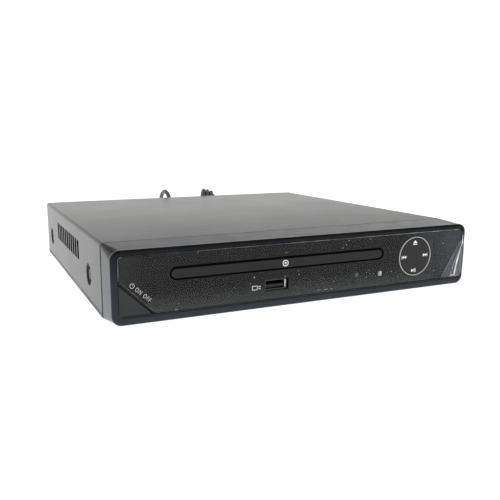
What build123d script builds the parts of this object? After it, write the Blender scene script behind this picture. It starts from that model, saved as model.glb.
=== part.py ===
# Compact tray-loading disc player. Millimetres, +X right, +Y towards the back, +Z up.
# The origin is the middle of the object's footprint, on the surface that the feet stand on.
# The front faces -Y. Depths written as d are measured back from the crest of the front rim.
from build123d import *
import math
import os

# ---------------------------------------------------------------- driving dimensions
W = 227.0            # width over the bezel and the cover
D_BODY = 225.0       # rim crest to the cover's rear lip
JACK_OUT = 8.0       # how far the signal sockets stand out of the rear
FOOT_H = 4.0         # feet under the case
H_BODY = 38.0        # case without feet
T = 0.8              # sheet steel of the cover and the chassis
D_SEAM = 22.5        # seam between the bezel and the cover
RIM = 2.9            # width of the rim beside the glossy panel
PANEL_D = 1.0        # the glossy panel's face, back from the crest
ZB = FOOT_H
ZT = FOOT_H + H_BODY
Y0 = -(D_BODY + JACK_OUT) / 2      # rim crest
XC = -16.2           # middle of the tray
DC = 86.0            # disc centre, depth
TRAY_Z = 27.35       # middle of the tray door
TRAY_TRAVEL = 130.0
DOOR_L, DOOR_H = 131.8, 5.3
SLOT_GAP = 1.0
PAD_X, PAD_Z = 74.5, 23.55         # round control pad
RING_R = 11.8
USB_X0, USB_X1, USB_Z0, USB_Z1 = -28.6, -14.1, 12.6, 18.7
IR_X, IR_Z = 31.9, 15.8
LED_X, LED_Z = 48.6, 15.1
BTN_Z, BTN_X = 23.95, -92.55        # where the power button's diagonal meets the panel's edges
FLOOR_T = ZB + T                   # top of the chassis floor

os.makedirs("parts", exist_ok=True)


def Y(d):
    return Y0 + d


def box(x0, x1, d0, d1, z0, z1):
    return Pos((x0 + x1) / 2, Y((d0 + d1) / 2), (z0 + z1) / 2) * Box(x1 - x0, d1 - d0, z1 - z0)


def cylz(x, d, z0, z1, r):
    return Pos(x, Y(d), (z0 + z1) / 2) * Cylinder(r, z1 - z0)


def cyly(x, z, d0, d1, r):
    return Pos(x, Y((d0 + d1) / 2), z) * Rot(90, 0, 0) * Cylinder(r, d1 - d0)


def cylx(d, z, x0, x1, r):
    return Pos((x0 + x1) / 2, Y(d), z) * Rot(0, 90, 0) * Cylinder(r, x1 - x0)


def front_plane(x, z, d):
    # local x is +X, local y is -Z, normal is +Y
    return Plane(origin=(x, Y(d), z), x_dir=(1, 0, 0), z_dir=(0, 1, 0))


def rrect(x0, x1, z0, z1, d0, d1, r):
    return extrude(front_plane((x0 + x1) / 2, (z0 + z1) / 2, d0) * RectangleRounded(x1 - x0, z1 - z0, r), amount=d1 - d0)


def stadium(x, z, length, height, d0, d1):
    return extrude(front_plane(x, z, d0) * SlotOverall(length, height), amount=d1 - d0)


def prism(points, vec):
    wire = Wire.make_polygon([Vector(*p) for p in points], close=True)
    return Solid.extrude(Face(wire), Vector(*vec))


def prism_z(pts, z0, z1):
    return prism([(x, y, z0) for x, y in pts], (0, 0, z1 - z0))


def prism_front(pts, d0, d1):
    return prism([(x, Y(d0), z) for x, z in pts], (0, d1 - d0, 0))


def prism_side(pts, x0, x1):
    return prism([(x0, Y(d), z) for d, z in pts], (x1 - x0, 0, 0))


def group(*shapes):
    # separate solids of one kind, kept as one node
    solids = []
    for s in shapes:
        solids += s.solids()
    return Compound(children=[Solid(s.wrapped) for s in solids])


WRITTEN = []


def save(shape, name):
    solids = shape.solids()
    out = solids[0] if len(solids) == 1 else Compound(children=[Solid(s.wrapped) for s in solids])
    export_step(out, f"parts/{name}.step")
    WRITTEN.append(name)


def fuse(first, *rest):
    out = first
    for s in rest:
        out = out + s
    return out


def cut(first, *rest):
    out = first
    for s in rest:
        out = out - s
    return out


# ---------------------------------------------------------------- gears
def gear_pts(m, z, cx, cy, phase, bl=0.16, add=0.8, ded=1.05, n=5):
    rp = m * z / 2
    ra, rf = rp + add * m, rp - ded * m
    pa = math.radians(20)
    rb = rp * math.cos(pa)
    half = math.pi / (2 * z) - bl / (2 * rp)
    inv = lambda a: math.tan(a) - a
    r0 = max(rb, rf)
    radii = [r0 + (ra - r0) * i / (n - 1) for i in range(n)]
    ang = lambda r: half + inv(pa) - inv(math.acos(min(1.0, rb / r)))
    pts = []
    for k in range(z):
        c = phase + 2 * math.pi * k / z
        seq = [(r, c - ang(r)) for r in radii] + [(r, c + ang(r)) for r in reversed(radii)]
        if rf < rb - 1e-6:
            seq = [(rf, c - ang(rb))] + seq + [(rf, c + ang(rb))]
        pts += [(cx + r * math.cos(t), cy + r * math.sin(t)) for r, t in seq]
    return pts


def rack_pts(m, x_pitch, y_gap, y0, y1, side, back, bl=0.16, add=0.8, ded=1.05):
    # teeth along Y on the line x_pitch, pointing to side (+1 or -1), a gap centred on y_gap, a bar behind reaching x = back
    pitch = math.pi * m
    tip, root = x_pitch + side * add * m, x_pitch - side * ded * m
    t = math.tan(math.radians(20))
    w = pitch / 4 - bl / 2
    pts = [(back, y0), (root, y0)]
    k0 = math.ceil((y0 + 0.3 - y_gap) / pitch - 0.5 + (w + ded * m * t) / pitch)
    k = k0
    while True:
        c = y_gap + pitch * (k + 0.5)
        if c + w + ded * m * t > y1 - 0.3:
            break
        pts += [(root, c - w - ded * m * t), (tip, c - w + add * m * t), (tip, c + w - add * m * t), (root, c + w + ded * m * t)]
        k += 1
    pts += [(root, y1), (back, y1)]
    return pts


# ================================================================ CASE
# top cover: one U of sheet steel, with the rear lip, side vents and screw dimples
VENT_N, VENT_D0, VENT_P, VENT_W = 11, 87.8, 7.85, 5.5      # upright slots in each side
VENT_Z0, VENT_Z1 = 21.2, 33.2
DIMPLES = [(56.0, 18.3), (200.5, 18.3)]                    # screw dimples: depth, height
DIMPLE_R, DIMPLE_FLOOR_R, DIMPLE_DEPTH = 6.8, 4.2, 2.2
SIDE_Z0 = 4.15
cover_outer = box(-W / 2, W / 2, D_SEAM + 0.3, D_BODY - T, SIDE_Z0, ZT)
cover_outer = fillet(cover_outer.edges().filter_by(Axis.Y).group_by(Axis.Z)[-1], 1.8)
cover_inner = box(-W / 2 + T, W / 2 - T, D_SEAM - 5, D_BODY + 5, 0, ZT - T)
cover_inner = fillet(cover_inner.edges().filter_by(Axis.Y).group_by(Axis.Z)[-1], 1.0)
cover = cover_outer - cover_inner
lip = box(-104, 104, D_BODY - T, D_BODY, ZT - 8.5, ZT)
lip = fillet(lip.edges().filter_by(Axis.Y).group_by(Axis.Z)[0], 2.5)
cover = cover + lip
for side in (-1, 1):
    xo = side * W / 2
    for i in range(VENT_N):
        d = VENT_D0 + i * VENT_P
        cover = cover - box(min(xo, xo - side * 3), max(xo, xo - side * 3), d - VENT_W / 2, d + VENT_W / 2, VENT_Z0, VENT_Z1)
    for d, z in DIMPLES:
        # conical dimple pressed inwards, with a flat floor and a clear hole for the screw
        frustum_out = Pos(xo - side * DIMPLE_DEPTH / 2, Y(d), z) * Rot(0, 90 * side, 0) * Cone(DIMPLE_FLOOR_R, DIMPLE_R, DIMPLE_DEPTH)
        frustum_in = Pos(xo - side * (DIMPLE_DEPTH / 2 + T), Y(d), z) * Rot(0, 90 * side, 0) * Cone(DIMPLE_FLOOR_R + 0.35, DIMPLE_R + 0.35, DIMPLE_DEPTH)
        cover = cover + frustum_in
        cover = cover - frustum_out
        cover = cover - cylx(d, z, min(xo, xo - side * 6), max(xo, xo - side * 6), 1.9)
        cover = cover - (Pos(xo + side * 5, Y(d), z) * Box(10, 30, 30))
REAR_SCREWS = [(-98.0, 37.2), (0.0, 37.2), (98.0, 37.2)]
for x, z in REAR_SCREWS:
    cover = cover - cyly(x, z, D_BODY - 2, D_BODY + 1, 1.9)
save(cover, "top_cover")

# chassis: floor, low side flanges with screw lugs, full-height rear wall
PX = W / 2 - T - 0.35            # outer face of the side flanges
REAR_D = D_BODY - T - 0.15       # outer face of the rear wall
FLOOR_D0 = D_SEAM + 0.3
chassis = box(-PX, PX, FLOOR_D0, REAR_D, ZB, ZB + T)
for side in (-1, 1):
    x0, x1 = (side * PX, side * (PX - T)) if side < 0 else (PX - T, PX)
    chassis = chassis + box(min(x0, x1), max(x0, x1), FLOOR_D0, REAR_D, ZB, ZB + 8)
chassis = chassis + box(-PX, PX, REAR_D - T, REAR_D, ZB, ZT - T - 0.4)
chassis = fillet(chassis.edges().filter_by(Axis.Y).group_by(Axis.Z)[0], 0.7)
# screw lugs: taller stretches of the side flange, set in behind the dimples
LUG_X = W / 2 - DIMPLE_DEPTH - T - 0.15       # outer face of a lug
for side in (-1, 1):
    for d, z in DIMPLES:
        xa, xb = side * LUG_X, side * (LUG_X - 1.2)
        lug = box(min(xa, xb), max(xa, xb), d - 6, d + 6, ZB, z + 6)
        chassis = chassis + lug
        chassis = chassis - box(min(side * (PX + 1), side * LUG_X), max(side * (PX + 1), side * LUG_X), d - 8, d + 8, ZB + T + 0.6, ZT)
        chassis = chassis - cylx(d, z, min(xa, xb) - 1, max(xa, xb) + 1, 1.3)
for x, z in REAR_SCREWS:
    chassis = chassis - cyly(x, z, REAR_D - 3, REAR_D + 1, 1.3)
# skirt that hangs below the cover's sides, with rounded rear ends
SKIRT_Z = 1.7
for side in (-1, 1):
    xa, xb, xc, xd = side * (PX - 3), side * (PX - 0.1), side * (W / 2 - T), side * W / 2
    plate = box(min(xc, xd), max(xc, xd), FLOOR_D0, D_BODY + 0.9, SKIRT_Z, ZB)
    plate = fillet(plate.edges().filter_by(Axis.X).group_by(Axis.Y)[-1].group_by(Axis.Z)[0], 2.0)
    chassis = chassis + plate + box(min(xa, xd), max(xa, xd), FLOOR_D0, REAR_D, ZB - T, ZB) + box(min(xa, xb), max(xa, xb), FLOOR_D0, REAR_D, ZB - T, ZB + T / 2)
# floor vents, four rows of slots
for r in range(2):
    for i in range(9):
        d = 62 + i * 8.0
        for sx in (60, 84) if r else (-50, -6):
            chassis = chassis - box(sx, sx + (18 if r else 34), d, d + 3.0, ZB - 1, ZB + T + 0.5)
# rear wall: vents, sockets and the strain relief's hole
RCA = [(-98.0, 17.4), (-84.0, 17.4), (-70.0, 17.4)]
HDMI_X, HDMI_Z = -38.0, 13.9
RELIEF_X, RELIEF_Z = 92.0, 17.0
for i in range(12):
    x = -8 + i * 5.2
    chassis = chassis - box(x, x + 2.2, REAR_D - 3, REAR_D + 1, 12.5, 28.5)
for x, z in RCA:
    chassis = chassis - cyly(x, z, REAR_D - 3, REAR_D + 1, 5.0)
chassis = chassis - box(HDMI_X - 8.1, HDMI_X + 8.1, REAR_D - 3, REAR_D + 1, HDMI_Z - 3.3, HDMI_Z + 3.3)
chassis = chassis - (cyly(RELIEF_X, RELIEF_Z, REAR_D - 3, REAR_D + 1, 5.6) & box(RELIEF_X - 6, RELIEF_X + 6, REAR_D - 4, REAR_D + 2, RELIEF_Z - 4.9, RELIEF_Z + 4.9))
# holes for the feet and for the standoffs
FEET = [(-90.0, 42.0), (90.0, 42.0), (-90.0, 200.0), (90.0, 200.0)]
for x, d in FEET:
    chassis = chassis - cylz(x, d, ZB - 1, ZB + T + 1, 1.6)
BEZEL_FIX = [(-88.0, 28.5), (0.0, 28.5), (88.0, 28.5)]
for x, d in BEZEL_FIX:
    chassis = chassis - cylz(x, d, ZB - 1, ZB + T + 1, 1.6)
LEGS = [(-79.4, 66.0), (-79.4, 150.0), (42.6, 66.0), (42.6, 150.0)]      # the loader's legs
for x, d in LEGS:
    chassis = chassis - cylz(x, d, ZB - 1, ZB + T + 1, 1.5)
MB_POSTS = [(-102.5, 193.5), (-45.0, 193.5), (45.0, 193.5), (-55.0, 217.5), (45.0, 217.5)]      # posts for the boards
PS_POSTS = [(64.0, 100.0), (103.0, 100.0), (64.0, 210.0), (103.0, 210.0)]
for x, d in MB_POSTS + PS_POSTS:
    chassis = chassis + cylz(x, d, ZB + T / 2, 9.0, 2.6)
    chassis = chassis - cylz(x, d, ZB + T, 10, 0.9)
save(chassis, "bottom_chassis")

# feet: turned plastic discs with a soft ring, each pushed into the floor
feet = []
for x, d in FEET:
    f = cylz(x, d, 0, ZB, 8.5)
    f = chamfer(f.edges().group_by(Axis.Z)[0], 0.8)
    f = f - cylz(x, d, -1, 1.2, 4.0)
    f = f + cylz(x, d, ZB, ZB + T, 1.5) + cylz(x, d, ZB + T, ZB + T + 1.6, 2.2)
    feet.append(f)
save(group(*feet), "feet")

# ================================================================ FRONT
# bezel: square-cornered at the seam, drawn to rounder corners at the rim, open at the back
zt_front = ZT - 0.6
zb_front = ZB - 0.9  # the rim's lower edge hangs a little below the chassis
ZS = 1.0             # the bezel's lower edge at the seam, just below the skirt
sec_a = front_plane(0, (ZS + ZT - 0.05) / 2, D_SEAM) * RectangleRounded(W - 0.4, ZT - 0.05 - ZS, 1.5)
sec_b = front_plane(0, (zb_front + zt_front) / 2, 3.2) * RectangleRounded(W, zt_front - zb_front, 5.2)
body = loft([sec_a.face(), sec_b.face()], ruled=True)
nose = extrude(front_plane(0, (zb_front + zt_front) / 2, 0) * RectangleRounded(W, zt_front - zb_front, 5.2), amount=3.2)
nose = fillet(nose.edges().group_by(Axis.Y)[0], 1.3)
bezel = body + nose
bezel = bezel - rrect(-W / 2 + 2.1, W / 2 - 2.1, ZB + 2.1, ZT - 2.6, 4.8, D_SEAM + 5, 1.6)
# recess for the panel, its lip chamfered
px0, px1, pz0, pz1 = -110.0, 111.4, 7.4, 38.3
pxm = (px0 + px1) / 2
recess = rrect(px0, px1, pz0, pz1, -1, 2.6, 2.4)
bezel = bezel - recess
# chamfer round the lip as a tapered cutter
lip_a = front_plane(pxm, (pz0 + pz1) / 2, -0.05) * RectangleRounded(px1 - px0 + 1.3, pz1 - pz0 + 1.3, 3.0)
lip_b = front_plane(pxm, (pz0 + pz1) / 2, 0.85) * RectangleRounded(px1 - px0 - 0.02, pz1 - pz0 - 0.02, 2.4)
bezel = bezel - loft([lip_a.face(), lip_b.face()], ruled=True)
# through openings in the front wall
bezel = bezel - stadium(XC, TRAY_Z, DOOR_L + 2 * SLOT_GAP, DOOR_H + 2 * SLOT_GAP, 2, 6)
bezel = bezel - box(USB_X0 - 0.4, USB_X1 + 0.4, 2, 6, USB_Z0 - 0.4, USB_Z1 + 0.4)
bezel = bezel - cyly(PAD_X, PAD_Z, 2, 6, RING_R + 0.6)
bezel = bezel - cyly(IR_X, IR_Z, 2, 6, 1.75)
bezel = bezel - box(LED_X - 1.5, LED_X + 1.5, 2, 6, LED_Z - 1.65, LED_Z + 1.65)


def tri(g, r=0.0):
    # power button outline in (x, z); g pulls every side in
    s = g * math.sqrt(2) + g * 0.42
    x0, z0 = px0 + 0.35 + g, pz0 + 0.35 + g
    k = (BTN_Z - pz0) / (BTN_X - px0)
    # the diagonal, moved towards the corner by g
    n = math.hypot(1, k)
    c = BTN_Z - g * n
    zl = c - k * (x0 - px0)
    xb = px0 + (c - z0) / k
    return [(x0, z0 + 1.2), (x0 + 0.35, z0 + 0.35), (x0 + 1.2, z0), (xb, z0), (x0, zl)]


bezel = bezel - prism_front(tri(1.6), 2, 6)
# bosses for the front board, inside the front wall
for x, z in [(-34.0, 9.6), (20.0, 9.6), (98.0, 9.6), (98.0, 37.2), (56.5, 37.2)]:
    bezel = bezel + cut(cyly(x, z, 4.8, 16.0, 2.2), cyly(x, z, 8, 17, 0.9))
for x, z in [(-104.6, 25.6), (-86.0, 9.6)]:
    bezel = bezel + cut(cyly(x, z, 4.8, 12.0, 1.9), cyly(x, z, 8, 13, 0.9))
# lugs that carry the pad's gimbal ring
GIM_D = 6.6
for sx in (-1, 1):
    xa, xb = PAD_X + sx * 8.75, PAD_X + sx * 9.65
    lug = box(min(xa, xb), max(xa, xb), GIM_D - 1.7, GIM_D + 1.5, PAD_Z - 1.6, PAD_Z + 1.6)
    arm = box(min(xa, xb), max(xa, xb), GIM_D + 1.5, GIM_D + 2.3, PAD_Z - 16.0, PAD_Z + 14.6)
    bezel = bezel + cut(lug + arm, cylx(GIM_D, PAD_Z, min(xa, xb) - 1, max(xa, xb) + 1, 0.85))
    for dz0, dz1 in ((-16.0, -13.6), (13.2, 14.6)):
        bezel = bezel + box(min(xa, xb), max(xa, xb), 4.8, GIM_D + 1.5, PAD_Z + dz0, PAD_Z + dz1)
# tongues that reach back under the cover and over the chassis floor
for x, d in BEZEL_FIX:
    t = box(x - 7, x + 7, 19.5, 33.0, ZB + T + 0.05, ZB + T + 2.6) + box(x - 7, x + 7, 19.5, 21.5, ZB + 1.6, ZB + T + 2.6)
    t = t - cylz(x, d, ZB, ZB + 6, 1.25)
    bezel = bezel + t
for x in (-92.0, 78.0):
    bezel = bezel + box(x - 6, x + 6, 19.5, 29.0, ZT - T - 2.2, ZT - T - 0.25) + box(x - 6, x + 6, 18.5, 20.5, ZT - 3.4, ZT - 1.6)
save(bezel, "front_bezel")

# glossy panel
panel = rrect(px0 + 0.15, px1 - 0.15, pz0 + 0.15, pz1 - 0.15, PANEL_D, 2.5, 2.3)
panel = chamfer(panel.edges().group_by(Axis.Y)[0], 0.3)
panel = panel - stadium(XC, TRAY_Z, DOOR_L + 2 * SLOT_GAP, DOOR_H + 2 * SLOT_GAP, 0, 3)
panel = panel - rrect(USB_X0, USB_X1, USB_Z0, USB_Z1, 0, 3, 0.4)
panel = panel - cyly(PAD_X, PAD_Z, 0, 3, RING_R + 0.45)
k = (BTN_Z - pz0) / (BTN_X - px0)
corner = [(px0 - 3, pz0 - 3), (BTN_X + 3 / k, pz0 - 3), (px0 - 3, BTN_Z + 3 * k)]
panel = panel - prism_front(corner, 0, 3)
# bevel along the diagonal edge
bev = prism([(px0 - 3, Y(PANEL_D), BTN_Z + 3 * k), (px0 - 3, Y(PANEL_D), BTN_Z + 3 * k + 0.9), (px0 - 3, Y(PANEL_D + 0.5), BTN_Z + 3 * k)], (BTN_X + 3 / k - px0 + 3, 0, pz0 - 3 - BTN_Z - 3 * k))
panel = panel - bev
panel = panel - cyly(IR_X, IR_Z, 0, 3, 1.65) - box(LED_X - 1.4, LED_X + 1.4, 0, 3, LED_Z - 1.55, LED_Z + 1.55)
save(panel, "front_panel")

# thin clear transport film left on the panel, cut round every control
film = rrect(px0 + 0.3, px1 - 0.25, pz0 + 0.4, pz1 - 0.3, PANEL_D - 0.13, PANEL_D - 0.03, 2.0)
film = film - stadium(XC, TRAY_Z, DOOR_L + 2 * SLOT_GAP + 0.6, DOOR_H + 2 * SLOT_GAP + 0.6, 0, 3)
film = film - rrect(USB_X0 - 0.5, USB_X1 + 0.5, USB_Z0 - 0.5, USB_Z1 + 0.5, 0, 3, 0.4)
film = film - cyly(PAD_X, PAD_Z, 0, 3, RING_R + 0.8)
corner2 = [(x + 0.9, z + 0.9) for x, z in corner]
film = film - prism_front(corner2 + [], 0, 3) - prism_front([(px0 - 3, pz0 - 3), (BTN_X + 5, pz0 - 3), (BTN_X + 5, pz0), (BTN_X + 2.0, pz0 + 0.6), (px0 + 0.9, BTN_Z + 0.9), (px0 - 3, BTN_Z + 0.9)], 0, 3)
film = film - cyly(IR_X, IR_Z, 0, 3, 2.0) - box(LED_X - 2.0, LED_X + 2.0, 0, 3, LED_Z - 2.1, LED_Z + 2.1)
save(film, "protective_film")

# power button: three-cornered cap, a flange behind the wall and a plunger for its switch
cap = prism_front(tri(0.0), PANEL_D, 2.1)
neck = prism_front(tri(2.0), 2.1, 6.0)
flange = prism_front([(px0 + 1.6, pz0 + 1.6), (px0 + 16.5, pz0 + 1.6), (px0 + 1.6, pz0 + 15.6)], 4.9, 6.0)
plunger = cyly(-104.8, 12.6, 6.0, 7.5, 1.6)
save(fuse(cap, neck, flange, plunger), "power_button")

# trim ring round the pad
ring = cyly(PAD_X, PAD_Z, 0.75, 4.9, RING_R + 0.23) - cyly(PAD_X, PAD_Z, 0, 5, RING_R - 0.23)
ring = ring + (cyly(PAD_X, PAD_Z, 4.85, 5.4, RING_R + 1.5) - cyly(PAD_X, PAD_Z, 4, 6, RING_R - 0.23))
for sx in (-1, 1):   # notches that let the bezel's arms by
    xa, xb = PAD_X + sx * 8.4, PAD_X + sx * 10.0
    ring = ring - box(min(xa, xb), max(xa, xb), 4.0, 6, PAD_Z - 14, PAD_Z + 14)
save(ring, "pad_trim_ring")

# round control pad on a gimbal: cap, stem, two trunnions along Z and four plungers
pad = cyly(PAD_X, PAD_Z, 0.7, 3.1, RING_R - 0.6)
pad = fillet(pad.edges().group_by(Axis.Y)[0], 0.3)
pad = pad + cyly(PAD_X, PAD_Z, 3.1, GIM_D + 1.2, 3.2)
pad = pad + (Pos(PAD_X, Y(GIM_D), PAD_Z) * Cylinder(0.8, 15.6))
for ax, az in ((0, 1), (1, 0), (0, -1), (-1, 0)):
    pad = pad + cyly(PAD_X + ax * 10.35, PAD_Z + az * 10.35, 3.1, 11.4, 0.55)
save(pad, "control_pad")
gim = cyly(PAD_X, PAD_Z, GIM_D - 1.3, GIM_D + 1.3, 8.1) - cyly(PAD_X, PAD_Z, GIM_D - 2, GIM_D + 2, 6.4)
gim = gim - (Pos(PAD_X, Y(GIM_D), PAD_Z) * Cylinder(0.85, 20))
for sx in (-1, 1):
    xa, xb = PAD_X + sx * 7.6, PAD_X + sx * 9.5
    gim = gim + cylx(GIM_D, PAD_Z, min(xa, xb), max(xa, xb), 0.8)
save(gim, "pad_gimbal_ring")

# windows
save(cyly(IR_X, IR_Z, PANEL_D + 0.1, 9.0, 1.55), "ir_window")
save(rrect(LED_X - 1.3, LED_X + 1.3, LED_Z - 1.45, LED_Z + 1.45, PANEL_D + 0.05, 10.5, 0.4), "led_light_pipe")

# USB receptacle
ux, uz = -21.75, 15.65          # left of the middle of its opening
shell = rrect(ux - 6.65, ux + 6.65, uz - 2.75, uz + 2.75, 1.6, 15.9, 0.5) - rrect(ux - 6.3, ux + 6.3, uz - 2.4, uz + 2.4, 0, 14.6, 0.3)
for dx in (-3.6, 3.6):
    shell = shell - box(ux + dx - 1.0, ux + dx + 1.0, 4.0, 9.0, uz + 2.3, uz + 3.2) - box(ux + dx - 1.0, ux + dx + 1.0, 4.0, 9.0, uz - 3.2, uz - 2.3)
save(shell, "usb_port_shell")
tongue = box(ux - 5.7, ux + 5.7, 3.6, 13.0, uz - 2.1, uz - 0.35) + box(ux - 6.2, ux + 6.2, 13.0, 14.5, uz - 2.3, uz + 2.3)
save(tongue, "usb_port_tongue")

# front board: an L standing on edge behind the bezel, and a small one for the power switch
fb = box(-38, 102, 16.0, 17.6, 7.0, 22.6) + box(53, 102, 16.0, 17.6, 7.0, 39.0)
for x, z in [(-34.0, 9.6), (20.0, 9.6), (98.0, 9.6), (98.0, 37.2), (56.5, 37.2)]:
    fb = fb - cyly(x, z, 15, 19, 1.1)
pb = box(-107, -83.5, 12.0, 13.6, 7.6, 28.0)
for x, z in [(-104.6, 25.6), (-86.0, 9.6)]:
    pb = pb - cyly(x, z, 11, 15, 1.1)
save(group(fb, pb), "front_board")
sw = []
for ax, az in ((0, 1), (1, 0), (0, -1), (-1, 0)):
    x, z = PAD_X + ax * 10.35, PAD_Z + az * 10.35
    sw.append(box(x - 3, x + 3, 12.6, 16.0, z - 3, z + 3) + cyly(x, z, 11.9, 12.6, 1.7))
sw.append(box(-107.4, -102.2, 8.6, 12.0, 10.0, 15.2) + cyly(-104.8, 12.6, 8.0, 8.6, 1.7))
ir = box(IR_X - 2.6, IR_X + 2.6, 9.6, 13.4, IR_Z - 3.4, IR_Z + 3.4)
for dx in (-1.6, 0, 1.6):
    ir = ir + box(IR_X + dx - 0.3, IR_X + dx + 0.3, 13.4, 16.0, IR_Z - 1.0, IR_Z - 0.4)
led = cyly(LED_X, LED_Z, 11.0, 16.0, 1.5)
ffc_socket = box(56.0, 66.0, 17.6, 20.8, 12.0, 22.0)
save(group(ir, led, ffc_socket, *sw), "front_board_parts")

# ================================================================ LOADER
LX0, LX1 = XC - 68.3, XC + 68.3
TRAY_Z0, TRAY_Z1 = 24.4, 30.6
HINGE_D, HINGE_Z = 170.0, 19.5
DECK_DROP = math.radians(3.1)        # how far the deck swings down
CAM_TRAVEL = 9.0
PIN_X = (XC - 22.0, XC + 14.0)
PIN_D, PIN_Z = 53.0, 20.5
GX, GD = -68.0, 37.0                 # tray drive gear
M1, Z_RACK = 1.0, 14                 # its pinion on the tray's rack
M2, Z_WHEEL, Z_PIN = 0.8, 34, 12     # its wheel and the pulley gear's pinion
A1 = math.radians(-20)
C1 = M2 * (Z_WHEEL + Z_PIN) / 2
PGX, PGD = GX + C1 * math.cos(A1), GD + C1 * math.sin(A1)
MX, MD = -20.0, 32.5                 # loading motor

frame = box(LX0, LX1, 20, 186, 7.8, 9.0)
for side in (-1, 1):
    xa, xb = XC + side * 66.3, XC + side * 68.3
    frame = frame + box(min(xa, xb), max(xa, xb), 20, 186, 7.8, 33.2)
    xa, xb = XC + side * 62.0, XC + side * 66.3
    frame = frame + box(min(xa, xb), max(xa, xb), 22, 184, 22.9, 24.1)
    xa, xb = XC + side * 62.4, XC + side * 66.4
    for d0, d1 in ((24, 36), (108, 120), (160, 172)):
        frame = frame + box(min(xa, xb), max(xa, xb), d0, d1, 30.95, 32.4)
frame = frame + box(LX0, LX1, 184, 186, 7.8, 33.2)
frame = frame + box(LX0, LX1, 20, 21.6, 7.8, 16.5) + box(LX0, LX1, 20, 51, 15.0, 16.5)
frame = frame - box(XC - 57, XC + 51, 57, 178, 0, 22)
frame = frame + box(XC - 57, XC + 51, 55.2, 56.6, 7.8, 11.5)
for x0, x1 in ((XC - 60.2, XC - 57.3), (XC + 51.3, XC + 54.2)):
    lug = box(x0, x1, 165.5, 174.5, 7.8, 22.4)
    frame = frame + cut(lug, cylx(HINGE_D, HINGE_Z, x0 - 1, x1 + 1, 1.55))
for x, d in LEGS:
    frame = frame + cylz(x, d, FLOOR_T, 7.8, 3.4)
    frame = frame - cylz(x, d, 0, 10, 1.5)
frame = frame + cylz(GX, GD, 16.5, 26.0, 1.0) + cylz(PGX, PGD, 16.5, 22.0, 1.0)
frame = frame - cylz(MX, MD, 7, 10, 10.6) - cylz(MX, MD, 14, 17, 3.2)
save(frame, "loader_frame")

motor = cylz(MX, MD, 5.8, 15.0, 10.0)
motor = chamfer(motor.edges().group_by(Axis.Z)[0], 0.6)
motor = motor + cylz(MX, MD, 15.0, 16.2, 3.0) + cylz(MX, MD, 16.2, 20.2, 0.75)
save(motor, "loading_motor")
pul = cylz(MX, MD, 17.0, 17.5, 4.0) + cylz(MX, MD, 17.5, 19.3, 2.4) + cylz(MX, MD, 19.3, 19.8, 4.0)
save(pul - cylz(MX, MD, 16, 21, 0.8), "motor_pulley")

pg = cylz(PGX, PGD, 17.0, 17.5, 10.0) + cylz(PGX, PGD, 17.5, 19.3, 8.6) + cylz(PGX, PGD, 19.3, 19.8, 10.0)
pg = pg + prism_z(gear_pts(M2, Z_PIN, PGX, Y(PGD), A1 + math.pi + math.pi / Z_PIN), 19.8, 22.3)
for k in range(5):
    a = 2 * math.pi * k / 5
    pg = pg - cylz(PGX + 5.6 * math.cos(a), PGD + 5.6 * math.sin(a), 16, 19.79, 1.5)
save(pg - cylz(PGX, PGD, 16, 24, 1.05), "pulley_gear")


def belt(R, r, z0, z1):
    a = math.atan2(MD - PGD, MX - PGX)
    D = math.hypot(MX - PGX, MD - PGD)
    b = math.acos((R - r) / D)
    pts = []
    for cx, cd, rad, sgn in ((PGX, PGD, R, 1), (PGX, PGD, R, -1), (MX, MD, r, -1), (MX, MD, r, 1)):
        pts.append((cx + rad * math.cos(a + sgn * b), Y(cd + rad * math.sin(a + sgn * b))))
    return cylz(PGX, PGD, z0, z1, R) + cylz(MX, MD, z0, z1, r) + prism_z(pts, z0, z1)


save(belt(9.85, 3.65, 17.8, 19.0) - belt(8.66, 2.46, 17.0, 20.0), "loader_belt")

dg = cylz(GX, GD, 17.0, 20.2, 3.2)
wheel = prism_z(gear_pts(M2, Z_WHEEL, GX, Y(GD), A1), 20.1, 22.2)
for k in range(6):
    a = 2 * math.pi * k / 6 + 0.3
    wheel = wheel - cylz(GX + 10.0 * math.cos(a), GD + 10.0 * math.sin(a), 19, 23, 1.6)
dg = dg + wheel + prism_z(gear_pts(M1, Z_RACK, GX, Y(GD), math.pi), 22.1, 26.7)
save(dg - cylz(GX, GD, 16, 28, 1.05), "tray_drive_gear")

# cam slider with two sloping slots for the deck's pins
cam = box(-62, 8, 51.6, 54.4, 9.4, 23.4)
drop = (HINGE_D - PIN_D) * math.sin(DECK_DROP)
for px in PIN_X:
    ux_, uz_ = -CAM_TRAVEL, -drop
    L_ = math.hypot(ux_, uz_)
    nx, nz = -uz_ / L_ * 1.3, ux_ / L_ * 1.3
    quad = [(px + nx, PIN_Z + nz), (px + ux_ + nx, PIN_Z + uz_ + nz), (px + ux_ - nx, PIN_Z + uz_ - nz), (px - nx, PIN_Z - nz)]
    cam = cam - prism_front(quad, 50, 56) - cyly(px, PIN_Z, 50, 56, 1.3) - cyly(px + ux_, PIN_Z + uz_, 50, 56, 1.3)
cam = cam - box(-27.0, -16.0, 50, 56, 12, 20)
save(cam, "cam_slider")

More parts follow.
